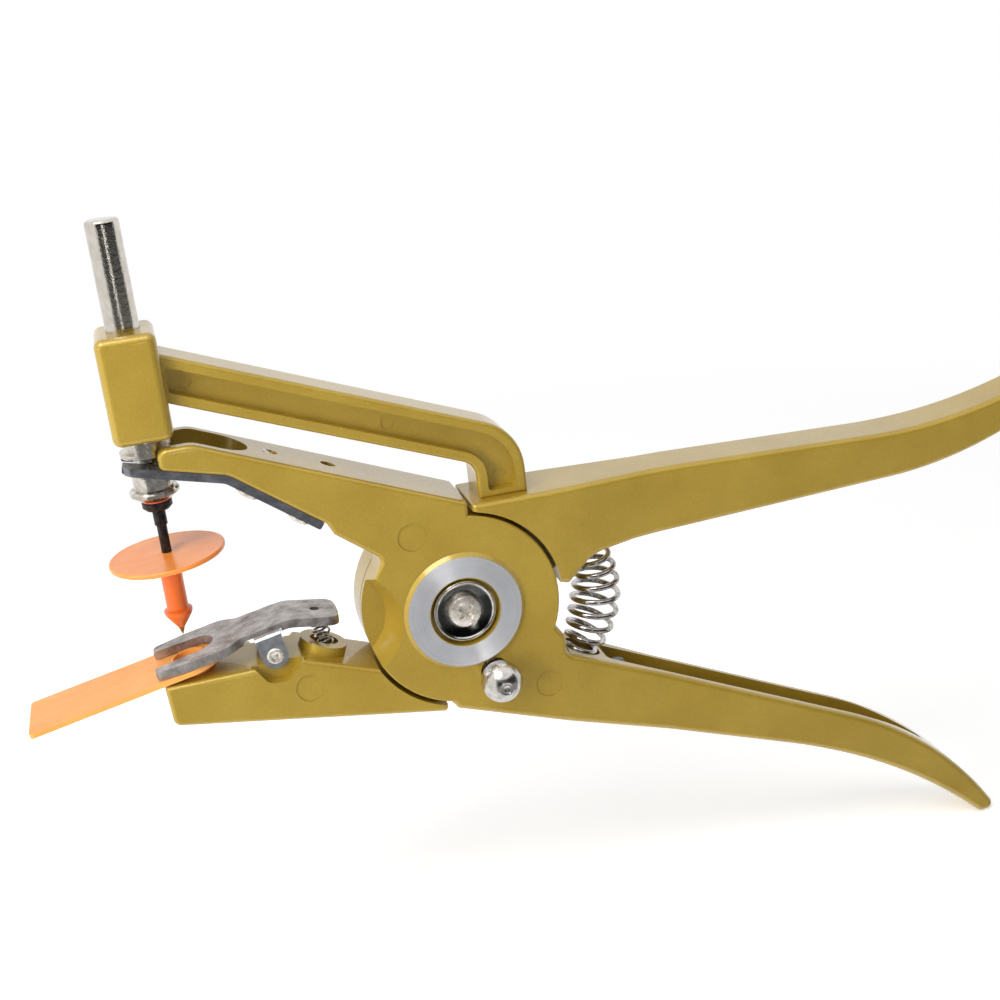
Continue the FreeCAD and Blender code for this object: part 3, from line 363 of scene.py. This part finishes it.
STRIP = plated("strip_steel", (0.62, 0.63, 0.66), (0.46, 0.47, 0.50), 0.30, 0.40,
               pit=0.001, wave=0.002)
DARK = plated("dark_screw", (0.12, 0.12, 0.13), (0.045, 0.045, 0.05), 0.2, 0.38)
BRASS = brass()
CLIP = cast_clip()
PLATE = dark_plate()
PIN = black_pin()
STEM_SHADE_DROP = 1.6             # painted shade on the male tag starts this far below its top, leaving the button paler
MALE = orange_plastic("male_orange", (0.88, 0.250, 0.030), (0.93, 0.310, 0.045), 0.18, 0.65,
                      painted_shade_below=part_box("male_tag")[1].z / MM - STEM_SHADE_DROP)
FEMALE = orange_plastic("strap_orange", (0.86, 0.330, 0.060), (0.92, 0.410, 0.100), 0.30, 0.3)
RED = red_rubber()
ALUMINIUM = turned_aluminium()
DISH_PAINTED_REFLECTION = nickel_painted_reflection()

for node, material in (
        ("frame_casting", GOLD), ("lever_casting", GOLD), ("pivot_barrel", ZINC),
        ("thrust_washer", ZINC), ("dished_washer", DISH_PAINTED_REFLECTION), ("pivot_screw", NICKEL),
        ("plunger_rod", CHROME_ROD), ("lower_collar", NICKEL), ("red_washer", RED),
        ("applicator_pin", PIN), ("male_tag", MALE), ("male_tag_point", BRASS),
        ("female_tag", FEMALE), ("fork_plate", PLATE), ("plate_screws", NICKEL),
        ("clip_lever", CLIP), ("clip_saddle", STRIP), ("clip_pin", CHROME),
        ("clip_spring", SPRING), ("lock_knob", CHROME), ("lock_pin", CHROME),
        ("lock_spring", SPRING), ("handle_spring", SPRING), ("stop_screw", DARK)):
    piece = frame["nodes"][node]
    piece.data.materials.clear()
    piece.data.materials.append(material)


# ---------------------------------------------------------------- mesh helpers

def finished(name, bm, material, sharp=35.0):
    """Turn a bmesh into a linked object with smooth faces and sharp corners."""
    bmesh.ops.remove_doubles(bm, verts=bm.verts, dist=1e-7)
    bmesh.ops.recalc_face_normals(bm, faces=bm.faces)
    mesh = bpy.data.meshes.new(name)
    bm.to_mesh(mesh)
    bm.free()
    for face in mesh.polygons:
        face.use_smooth = True
    mesh.set_sharp_from_angle(angle=math.radians(sharp))
    mesh.materials.append(material)
    made = bpy.data.objects.new(name, mesh)
    bpy.context.scene.collection.objects.link(made)
    return made


def tube(name, path, radius, material, sides=12):
    """Round wire along a list of points, with slightly domed ends."""
    bm = bmesh.new()
    rings = []
    count = len(path)
    side = None
    for i, here in enumerate(path):
        ahead = (path[min(i + 1, count - 1)] - path[max(i - 1, 0)]).normalized()
        if side is None:
            side = ahead.orthogonal().normalized()
        side = (side - ahead * side.dot(ahead)).normalized()
        up = ahead.cross(side)
        ring = []
        for k in range(sides):
            turn = 2 * math.pi * k / sides
            out = side * math.cos(turn) + up * math.sin(turn)
            ring.append(bm.verts.new(here + out * radius))
        rings.append(ring)
    for a, b in zip(rings, rings[1:]):
        for k in range(sides):
            bm.faces.new((a[k], a[(k + 1) % sides], b[(k + 1) % sides], b[k]))
    for ring, end, inner in ((rings[0], path[0], path[1]), (rings[-1], path[-1], path[-2])):
        tip = bm.verts.new(end + (end - inner).normalized() * radius * 0.35)
        for k in range(sides):
            bm.faces.new((ring[k], ring[(k + 1) % sides], tip))
    return finished(name, bm, material, sharp=50)


def lathe(name, profile, origin, direction, material, segments=96, shape=None, sharp=35.0):
    """Turn (radius, height) points in mm about an axis; shape(r, angle, h) may carve them."""
    along = Vector(direction).normalized()
    second = along.cross(Vector((1, 0, 0))).normalized()
    first = second.cross(along)
    turn = Matrix((first, second, along)).transposed()
    bm = bmesh.new()
    rings = []
    for r, h in profile:
        ring = []
        steps = 1 if r <= 0 else segments
        for k in range(steps):
            angle = 2 * math.pi * k / segments
            rr, hh = shape(r, angle, h) if shape else (r, h)
            spot = Vector((rr * math.cos(angle), rr * math.sin(angle), hh)) * MM
            ring.append(bm.verts.new(Vector(origin) + turn @ spot))
        rings.append(ring)
    for a, b in zip(rings, rings[1:]):
        for k in range(segments):
            following = (k + 1) % segments
            if len(a) == 1 and len(b) == 1:
                continue
            if len(a) == 1:
                bm.faces.new((a[0], b[k], b[following]))
            elif len(b) == 1:
                bm.faces.new((a[k], b[0], a[following]))
            else:
                bm.faces.new((a[k], b[k], b[following], a[following]))
    return finished(name, bm, material, sharp)


def middle(node):
    low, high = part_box(node)
    return (low + high) / 2


# ---------------------------------------------------------------- springs

def coil_path(centre, radius, turns, steps=40):
    """Points along a helix: centre(t) gives a point and two directions across it."""
    count = int(turns * steps)
    path = []
    for i in range(count + 1):
        t = i / count
        spot, first, second = centre(t)
        phase = 2 * math.pi * turns * t
        out = first * math.cos(phase) + second * math.sin(phase)
        path.append(spot + out * radius(t))
    return path


def handle_spring():
    """Barrel spring between the handles, with its end turns a little closer together."""
    arc = 37.9 * MM               # its axis bends round the hinge at this radius
    start, stop = math.radians(-37.5), math.radians(6.0)
    turns = 8
    wire_d = 1.5
    low_d, rise_d, bulge_d = 8.0, 1.4, 5.0
    closing = 0.022               # share of the length that the end turns give up

    def eased(t):
        return t - closing * math.sin(2 * math.pi * t)

    def on_arc(angle):
        out = Vector((math.cos(angle), 0, math.sin(angle)))
        return Vector((0, MID_Y * MM, 0)) + out * arc, out

    def centre(t):
        spot, out = on_arc(start + (stop - start) * eased(t))
        return spot, out, Vector((0, 1, 0))

    def radius(t):
        return (low_d + rise_d * t + bulge_d * math.sin(math.pi * t) - wire_d) / 2 * MM

    path = coil_path(centre, radius, turns)
    spring = tube("handle_spring_wire", path, wire_d / 2 * MM, SPRING, 16)
    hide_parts("handle_spring")
    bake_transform(spring)


def straight_spring(name, node, low, high, radius, wire, turns):
    """Compression spring between two points, replacing its CAD node."""
    low, high = Vector(low) * MM, Vector(high) * MM
    axis = (high - low).normalized()
    first = Vector((0, 1, 0)) if abs(axis.y) < 0.5 else Vector((1, 0, 0))
    second = axis.cross(first)
    begin = low + axis * wire / 2 * MM
    rise = (high - low).length - wire * MM
    path = coil_path(lambda t: (begin + axis * rise * t, first, second),
                     lambda t: radius * MM, turns)
    spring = tube(name, path, wire / 2 * MM, SPRING, 12)
    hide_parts(node)
    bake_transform(spring)


handle_spring()
CLIP_SPRING_FOOT = (-34.6, MID_Y, -6.5)
CLIP_SPRING_TOP = (-35.9, MID_Y, 2.2)
FINE_WIRE = 0.6
straight_spring("clip_spring_wire", "clip_spring", CLIP_SPRING_FOOT, CLIP_SPRING_TOP,
                2.0, FINE_WIRE, 5)
lock_low, lock_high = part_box("lock_spring")
lock_x, lock_z = middle("lock_spring").x / MM, middle("lock_spring").z / MM
straight_spring("lock_spring_wire", "lock_spring", (lock_x, lock_low.y / MM, lock_z),
                (lock_x, lock_high.y / MM, lock_z), 2.85, FINE_WIRE, 4)


# ---------------------------------------------------------------- turned pieces on the hub

def turned_ring():
    """Bare face of the hub's raised ring, cut by fine concentric grooves."""
    inner_r, outer_r = 9.15, 14.55
    proud = 0.025                 # the face stands this far off the casting's ring
    groove = 0.006
    crest = 0.9                   # height of the casting's ring above the hub
    steps = 140
    profile = []
    for i in range(steps + 1):
        r = inner_r + (outer_r - inner_r) * i / steps
        cut = groove * math.sin(r * 21.0) * math.sin(r * 5.3)
        profile.append((r, proud + cut))
    profile += [(14.70, -0.02), (14.79, -0.12), (14.82, -0.6)]
    origin = (0, (HUB_FRONT - crest) * MM, 0)
    ring = lathe("turned_ring", profile, origin, TOWARDS_VIEW, ALUMINIUM, 160)
    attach(ring, "lever")


def dished_washer():
    """Pressed washer: rolled rim and a conical dish down to the screw; its finish paints the rim's
    highlight and the dish's dark reflection.
    """
    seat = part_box("dished_washer")[1].y
    profile = [(2.7, 0.0), (2.7, 0.75), (3.9, 0.78), (4.5, 0.82), (5.2, 1.00), (6.0, 1.24),
               (6.8, 1.50), (7.1, 1.62), (7.25, 1.74), (7.42, 1.86), (7.62, 1.92), (7.82, 1.88),
               (7.98, 1.76), (8.05, 1.58), (8.03, 1.38), (7.9, 1.22), (7.6, 1.10), (6.6, 0.85),
               (5.4, 0.42), (4.4, 0.1), (4.0, 0.0)]
    washer = lathe("dished_washer_skin", profile, (0, seat, 0), TOWARDS_VIEW, DISH_PAINTED_REFLECTION, 128, sharp=40)
    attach(washer, "frame")
    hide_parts("dished_washer")


def recess_depth(x, y, turn, half, reach, depth):
    """Depth of a worn cross recess at a spot of a screw head, in millimetres."""
    a = x * math.cos(turn) + y * math.sin(turn)
    b = -x * math.sin(turn) + y * math.cos(turn)
    best = 0.0
    for along, across in ((abs(a), abs(b)), (abs(b), abs(a))):
        width = half * (1.25 - 0.45 * along / reach)
        edge = min(1.0, max(0.0, (width - across) / (0.28 * width)))
        end = min(1.0, max(0.0, (reach - along) / (0.35 * reach)))
        best = max(best, edge * end)
    return depth * best


def screw_head(name, centre, direction, head_r, head_h, shank, material, turn=45.0, segments=120):
    """Domed pan head with a cross recess, on a plain shank given as (radius, length)."""
    profile = [(0, head_h)]
    steps = 34
    for i in range(1, steps + 1):
        r = head_r * 0.93 * i / steps
        profile.append((r, head_h * (1 - 0.36 * (r / head_r) ** 2.6)))
    shank_r, shank_len = shank
    profile += [(head_r * 0.975, head_h * 0.57), (head_r, head_h * 0.46),
                (head_r * 0.995, head_h * 0.1), (head_r * 0.96, 0.0),
                (shank_r, 0.0), (shank_r, -shank_len), (0, -shank_len)]

    def carve(r, angle, h):
        if h < head_h * 0.6:
            return r, h
        x, y = r * math.cos(angle), r * math.sin(angle)
        cut = recess_depth(x, y, math.radians(turn), head_r * 0.15, head_r * 0.56, head_h * 0.6)
        return r, h - cut

    return lathe(name, profile, centre, direction, material, segments, shape=carve, sharp=32)


def pivot_screw():
    head_r, head_h = 4.2, 2.2
    shank = (2.5, 10.4)
    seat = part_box("pivot_screw")[0].y + head_h * MM
    screw = screw_head("pivot_screw_skin", (0, seat, 0), TOWARDS_VIEW, head_r, head_h, shank, HEAD)
    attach(screw, "frame")
    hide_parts("pivot_screw")


def lock_knob():
    """Ball knob with a small dimpled face, a ringed neck and the pin behind it."""
    ball = middle("lock_knob")
    front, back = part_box("lock_knob")
    pin_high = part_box("lock_pin")[1]
    r = 5.3
    face = 1.75                   # radius of the flat that the dimple is pressed in
    pin_r, pin_chamfer = 2.0, 0.3
    top = math.sqrt(r * r - face * face)
    centre_y = front.y + top * MM
    profile = [(0, top - 0.32), (0.35, top - 0.30), (0.7, top - 0.2), (0.85, top - 0.06),
               (1.0, top - 0.04), (1.15, top - 0.1), (1.3, top - 0.1), (1.45, top - 0.02),
               (face, top)]
    start = math.asin(face / r)
    stop = math.radians(142)
    steps = 40
    for i in range(1, steps + 1):
        angle = start + (stop - start) * i / steps
        profile.append((r * math.sin(angle), r * math.cos(angle)))
    neck_end = -(back.y - centre_y) / MM
    neck_start = profile[-1][1]
    drop = neck_start - neck_end
    rings = ((0.04, 2.75), (0.12, 2.7), (0.15, 3.05), (0.24, 3.1), (0.27, 2.75), (0.40, 2.75),
             (0.44, 3.12), (0.56, 3.15), (0.60, 2.85), (0.97, 2.85), (1.0, 2.2))
    for share, radius in rings:
        profile.append((radius, neck_start - drop * share))
    pin_end = -(pin_high.y - centre_y) / MM
    profile += [(pin_r, neck_end), (pin_r, pin_end + pin_chamfer),
                (pin_r - pin_chamfer, pin_end), (0, pin_end)]
    origin = (ball.x, centre_y, ball.z)
    knob = lathe("lock_knob_skin", profile, origin, TOWARDS_VIEW, KNOB, 96, sharp=38)
    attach(knob, "lock")
    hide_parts("lock_knob", "lock_pin")


turned_ring()
dished_washer()
pivot_screw()
lock_knob()


# ---------------------------------------------------------------- plunger and tag

def plunger_rod():
    """Rod with its upper collar, milled across at the left, and the neck for the fork."""
    low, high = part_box("plunger_rod")
    axis = middle("plunger_rod")
    top = high.z / MM
    end = low.z / MM
    rod_r, rod_step = 3.9, 1.2
    collar_r, collar_step = 6.3, 0.2
    collar_low, collar_high = 52.0, 56.4
    neck_r, neck_low = 3.5, 47.2
    spigot_r = 2.0
    chamfer_end = 1.1
    profile = [(0, top), (2.9, top), (3.35, top - 0.06), (3.7, top - 0.3), (3.88, top - 0.7),
               (rod_r, top - chamfer_end)]
    z = top - chamfer_end
    while z > collar_high + 1.0:
        z -= rod_step
        profile.append((rod_r, z))
    profile += [(rod_r, collar_high + 0.05), (4.4, collar_high), (5.9, collar_high),
                (6.2, collar_high - 0.12), (collar_r, collar_high - 0.4)]
    z = collar_high - 0.4
    while z > collar_low + 0.45:
        z -= collar_step
        profile.append((collar_r, z))
    profile += [(6.25, collar_low + 0.15), (6.05, collar_low), (3.7, collar_low),
                (neck_r, collar_low - 0.1), (neck_r, neck_low), (spigot_r, neck_low),
                (spigot_r, end), (0, end)]
    slot_floor_r = 4.4
    slot_half = math.radians(62)

    def carve(r, angle, h):
        """A slot is milled a little way into the collar on the side away from the jaws."""
        away = abs(math.remainder(angle - math.pi, 2 * math.pi))
        if collar_low + 1.3 < h < collar_high - 1.25 and r > 5.9 and away < slot_half:
            return slot_floor_r, h
        return r, h

    rod = lathe("plunger_rod_skin", profile, (axis.x, axis.y, 0), UP, CHROME_ROD, 96,
                shape=carve, sharp=34)
    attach(rod, "plunger")
    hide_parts("plunger_rod")


def male_tag():
    """Button pushed on the pin, with a plain stem and a sharp-edged barbed head."""
    low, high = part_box("male_tag")
    axis = middle("male_tag")
    top = high.z / MM
    r = (high.x - low.x) / 2 / MM
    point_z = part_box("male_tag_point")[1].z / MM
    hole_r, hole_floor = 1.24, 9.3
    stem_r = 2.6
    profile = [(0, hole_floor), (hole_r, hole_floor), (hole_r, top + 0.02), (1.9, top + 0.02),
               (2.3, top - 0.06), (2.7, top - 0.12)]
    for i in range(1, 13):
        profile.append((2.7 + (r - 0.75 - 2.7) * i / 12, top - 0.12))
    profile += [(r - 0.5, top - 0.06), (r - 0.3, top - 0.08), (r - 0.1, top - 0.22), (r, top - 0.5),
                (r, top - 0.85), (r - 0.12, top - 1.15), (r - 0.4, top - 1.3)]
    for i in range(1, 9):
        profile.append((r - 0.4 - (r - 0.4 - 3.1) * i / 8, top - 1.3))
    profile += [(2.75, top - 1.42), (2.62, top - 1.75), (stem_r, top - 4.0), (stem_r, top - 8.0),
                (stem_r, 12.6), (2.62, 12.35), (2.75, 12.25), (3.3, 12.1), (3.44, 11.95),
                (3.45, 11.7), (3.4, 11.2), (3.15, 10.6), (2.85, 10.15), (2.2, 9.2), (1.5, 8.2),
                (0.83, point_z), (0, point_z)]
    button_above = 20             # only the button lies above this height
    root_r = 2.65                 # and outside this radius
    lean, warp = 0.040, 0.10

    def tilt(rr, angle, h):
        """The button leans a little on its pin, and its rim is not quite flat."""
        if rr < root_r or h <= button_above:
            return rr, h
        share = min(1.0, (rr - root_r) / 2.0)
        rise = lean * rr * math.cos(angle) + warp * math.cos(2 * angle + 0.6) * (rr / r) ** 2
        return rr, h + rise * share

    tag = lathe("male_tag_skin", profile, (axis.x, axis.y, 0), UP, MALE, 120,
                shape=tilt, sharp=36)
    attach(tag, "plunger")
    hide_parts("male_tag")


plunger_rod()
male_tag()


# ---------------------------------------------------------------- small fasteners

def plate_screws():
    """Two tall domed heads under the fork plate, each with its shank up into the jaw."""
    slope = math.radians(38.0)
    along = Vector((math.cos(slope), 0, -math.sin(slope)))
    down = Vector((-math.sin(slope), 0, -math.cos(slope)))
    bend = Vector((-51.6, MID_Y, 45.7))
    plate_t = 2.0
    head_r, head_h = 3.3, 2.7
    shank = (1.75, 9.6)
    for i, reach in enumerate((7.9, 21.9)):
        seat = (bend + along * reach + down * plate_t) * MM
        turn = 20 + 50 * i
        screw = screw_head(f"plate_screw_{i}", seat, down, head_r, head_h, shank, HEAD, turn, 80)
        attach(screw, "lever")
        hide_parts("plate_screws")


def clip_rivet():
    """Rivet through the saddle's ears, with a domed head that has a ring turned in it."""
    low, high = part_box("clip_pin")
    centre = middle("clip_pin")
    half = (high.y - low.y) / 2 / MM
    head_h, shank_r = 0.66, 1.45
    head = [(0, 0.62), (0.35, 0.60), (0.62, 0.48), (0.78, 0.36), (0.92, 0.40), (1.15, 0.60),
            (1.45, head_h), (1.8, 0.56), (2.05, 0.32), (2.12, 0.1), (2.1, 0.0)]
    drop = half - head_h
    profile = [(r, h + drop) for r, h in head] + [(shank_r, drop), (shank_r, -drop)]
    profile += [(r, -h - drop) for r, h in reversed(head)]
    rivet = lathe("clip_rivet", profile, tuple(centre), TOWARDS_VIEW, HEAD, 72, sharp=40)
    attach(rivet, "frame")
    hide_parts("clip_pin")


plate_screws()
clip_rivet()


# ---------------------------------------------------------------- stage

def emptied(owner):
    """The bare node tree of a material or world, with its output node."""
    owner.use_nodes = True
    tree = owner.node_tree
    tree.nodes.clear()
    kind = "World" if isinstance(owner, bpy.types.World) else "Material"
    return tree, tree.nodes.new(f"ShaderNodeOutput{kind}")


def stage_floor():
    """Pale floor that keeps the object's shadow and fades into the white background."""
    radius = 4.0
    below = 0.0004                # gap under the object's lowest point
    paper_grey = 0.90
    camera_lift = 0.42            # extra light that only the camera sees
    fade_from, fade_to = 0.30, 0.60
    bm = bmesh.new()
    bmesh.ops.create_circle(bm, cap_ends=True, segments=96, radius=radius)
    mesh = bpy.data.meshes.new("floor")
    bm.to_mesh(mesh)
    bm.free()
    floor = bpy.data.objects.new("floor", mesh)
    floor.location = ((cad_low.x + cad_high.x) / 2, (cad_low.y + cad_high.y) / 2,
                      cad_low.z - below)
    bpy.context.scene.collection.objects.link(floor)
    material = bpy.data.materials.new("floor_paper")
    tree, out = emptied(material)
    paper = tree.nodes.new("ShaderNodeBsdfDiffuse")
    paper.inputs["Color"].default_value = (paper_grey, paper_grey, paper_grey, 1)
    glow = tree.nodes.new("ShaderNodeEmission")
    glow.inputs["Strength"].default_value = 1.0
    lift = tree.nodes.new("ShaderNodeEmission")
    seen = tree.nodes.new("ShaderNodeLightPath")
    lifted = tree.nodes.new("ShaderNodeMath")
    lifted.operation = "MULTIPLY"
    lifted.inputs[1].default_value = camera_lift
    tree.links.new(seen.outputs["Is Camera Ray"], lifted.inputs[0])
    tree.links.new(lifted.outputs[0], lift.inputs["Strength"])
    both = tree.nodes.new("ShaderNodeAddShader")
    tree.links.new(paper.outputs[0], both.inputs[0])
    tree.links.new(lift.outputs[0], both.inputs[1])
    place = tree.nodes.new("ShaderNodeTexCoord")
    far = tree.nodes.new("ShaderNodeVectorMath")
    far.operation = "LENGTH"
    tree.links.new(place.outputs["Object"], far.inputs[0])
    fade = tree.nodes.new("ShaderNodeMapRange")
    fade.inputs["From Min"].default_value = fade_from
    fade.inputs["From Max"].default_value = fade_to
    tree.links.new(far.outputs["Value"], fade.inputs["Value"])
    mix = tree.nodes.new("ShaderNodeMixShader")
    tree.links.new(fade.outputs["Result"], mix.inputs[0])
    tree.links.new(both.outputs[0], mix.inputs[1])
    tree.links.new(glow.outputs[0], mix.inputs[2])
    tree.links.new(mix.outputs[0], out.inputs["Surface"])
    mesh.materials.append(material)
    floor.visible_glossy = False


def show_in_reflections_only(piece):
    piece.visible_camera = False
    piece.visible_diffuse = False
    piece.visible_shadow = False
    piece.visible_transmission = False


def dark_screen():
    """Curved cloth behind the camera, seen only in reflections: dark above, grey below."""
    radius = 1.5
    bottom, top = -1.3, 0.9
    first, sweep = -44, 124       # degrees from straight in front, towards the handles
    steps = 32
    grey, grey_below = 0.28, -0.35
    dark, dark_above = 0.02, 0.0
    bm = bmesh.new()
    rows = []
    for i in range(steps + 1):
        angle = math.radians(first + sweep * i / steps)
        x = radius * math.sin(angle)
        y = -radius * math.cos(angle)
        rows.append([bm.verts.new((x, y, z)) for z in (bottom, top)])
    for a, b in zip(rows, rows[1:]):
        bm.faces.new((a[0], a[1], b[1], b[0]))
    material = bpy.data.materials.new("dark_cloth")
    tree, out = emptied(material)
    cloth = tree.nodes.new("ShaderNodeEmission")
    place = tree.nodes.new("ShaderNodeTexCoord")
    split = tree.nodes.new("ShaderNodeSeparateXYZ")
    tree.links.new(place.outputs["Object"], split.inputs[0])
    rise = tree.nodes.new("ShaderNodeMapRange")
    rise.inputs["From Min"].default_value = grey_below
    rise.inputs["From Max"].default_value = dark_above
    rise.inputs["To Min"].default_value = grey
    rise.inputs["To Max"].default_value = dark
    tree.links.new(split.outputs["Z"], rise.inputs["Value"])
    tree.links.new(rise.outputs["Result"], cloth.inputs["Strength"])
    tree.links.new(cloth.outputs[0], out.inputs["Surface"])
    screen = finished("dark_screen", bm, material)
    show_in_reflections_only(screen)


def flash_card():
    """Small bright card behind the camera, which draws a line of light down the rod."""
    left, right = -0.075, 0.045
    bottom, top = -0.165, 0.15
    away = -1.42
    strength = 4.0
    bm = bmesh.new()
    outline = ((left, bottom), (right, bottom), (right, top), (left, top))
    bm.faces.new([bm.verts.new((x, away, z)) for x, z in outline])
    material = bpy.data.materials.new("flash_card")
    tree, out = emptied(material)
    glow = tree.nodes.new("ShaderNodeEmission")
    glow.inputs["Strength"].default_value = strength
    tree.links.new(glow.outputs[0], out.inputs["Surface"])
    card = finished("flash_card", bm, material)
    show_in_reflections_only(card)


def world():
    """Even white studio: full white where it is seen or mirrored, softer as light."""
    soft_strength = 0.33
    made = bpy.data.worlds.new("studio")
    bpy.context.scene.world = made
    tree, out = emptied(made)
    white = tree.nodes.new("ShaderNodeBackground")
    white.inputs["Color"].default_value = (1, 1, 1, 1)
    white.inputs["Strength"].default_value = 1.0
    soft = tree.nodes.new("ShaderNodeBackground")
    soft.inputs["Color"].default_value = (0.97, 0.98, 1.0, 1)
    soft.inputs["Strength"].default_value = soft_strength
    seen = tree.nodes.new("ShaderNodeLightPath")
    total = seen.outputs["Is Camera Ray"]
    for ray in ("Is Glossy Ray", "Is Transmission Ray"):
        either = tree.nodes.new("ShaderNodeMath")
        either.operation = "MAXIMUM"
        tree.links.new(total, either.inputs[0])
        tree.links.new(seen.outputs[ray], either.inputs[1])
        total = either.outputs[0]
    mix = tree.nodes.new("ShaderNodeMixShader")
    tree.links.new(total, mix.inputs[0])
    tree.links.new(soft.outputs[0], mix.inputs[1])
    tree.links.new(white.outputs[0], mix.inputs[2])
    tree.links.new(mix.outputs[0], out.inputs["Surface"])


def lamp(name, place, target, size, watts, colour, mirrored):
    """Rectangular soft lamp; only a mirrored one shows in reflections."""
    light = bpy.data.lights.new(name, "AREA")
    light.shape = "RECTANGLE"
    light.size, light.size_y = size
    light.energy = watts
    light.color = colour
    made = bpy.data.objects.new(name, light)
    made.location = place
    aim = Vector(target) - Vector(place)
    made.rotation_euler = aim.to_track_quat("-Z", "Y").to_euler()
    made.visible_glossy = mirrored
    bpy.context.scene.collection.objects.link(made)


def camera():
    """The photograph's viewpoint: a little left of the tool, looking down at its front."""
    place = (-0.0639, -0.3511, 0.1440)
    focal_mm, sensor_mm = 52.43, 36.0
    right = Vector((0.9593, -0.2598, -0.1106)).normalized()
    ahead = Vector((0.2121, 0.9216, -0.3251)).normalized()
    data = bpy.data.cameras.new("camera")
    data.sensor_width = sensor_mm
    data.lens = focal_mm
    data.clip_start = 0.02
    data.clip_end = 20.0
    made = bpy.data.objects.new("camera", data)
    up = right.cross(ahead).normalized()
    right = ahead.cross(up).normalized()
    turn = Matrix((right, up, -ahead)).transposed()
    made.matrix_world = Matrix.Translation(place) @ turn.to_4x4()
    bpy.context.scene.collection.objects.link(made)
    bpy.context.scene.camera = made


stage_floor()
dark_screen()
flash_card()
world()
lamp("key", (-0.45, -0.55, 1.15), (0.02, 0, 0.0), (0.7, 0.7), 9.5, (1.0, 0.985, 0.96),
     mirrored=True)
lamp("left", (-0.62, -0.50, 0.22), (-0.05, 0, 0.0), (0.35, 0.5), 5.4, (1.0, 0.99, 0.97),
     mirrored=False)
camera()
bpy.context.scene.view_settings.view_transform = "Standard"
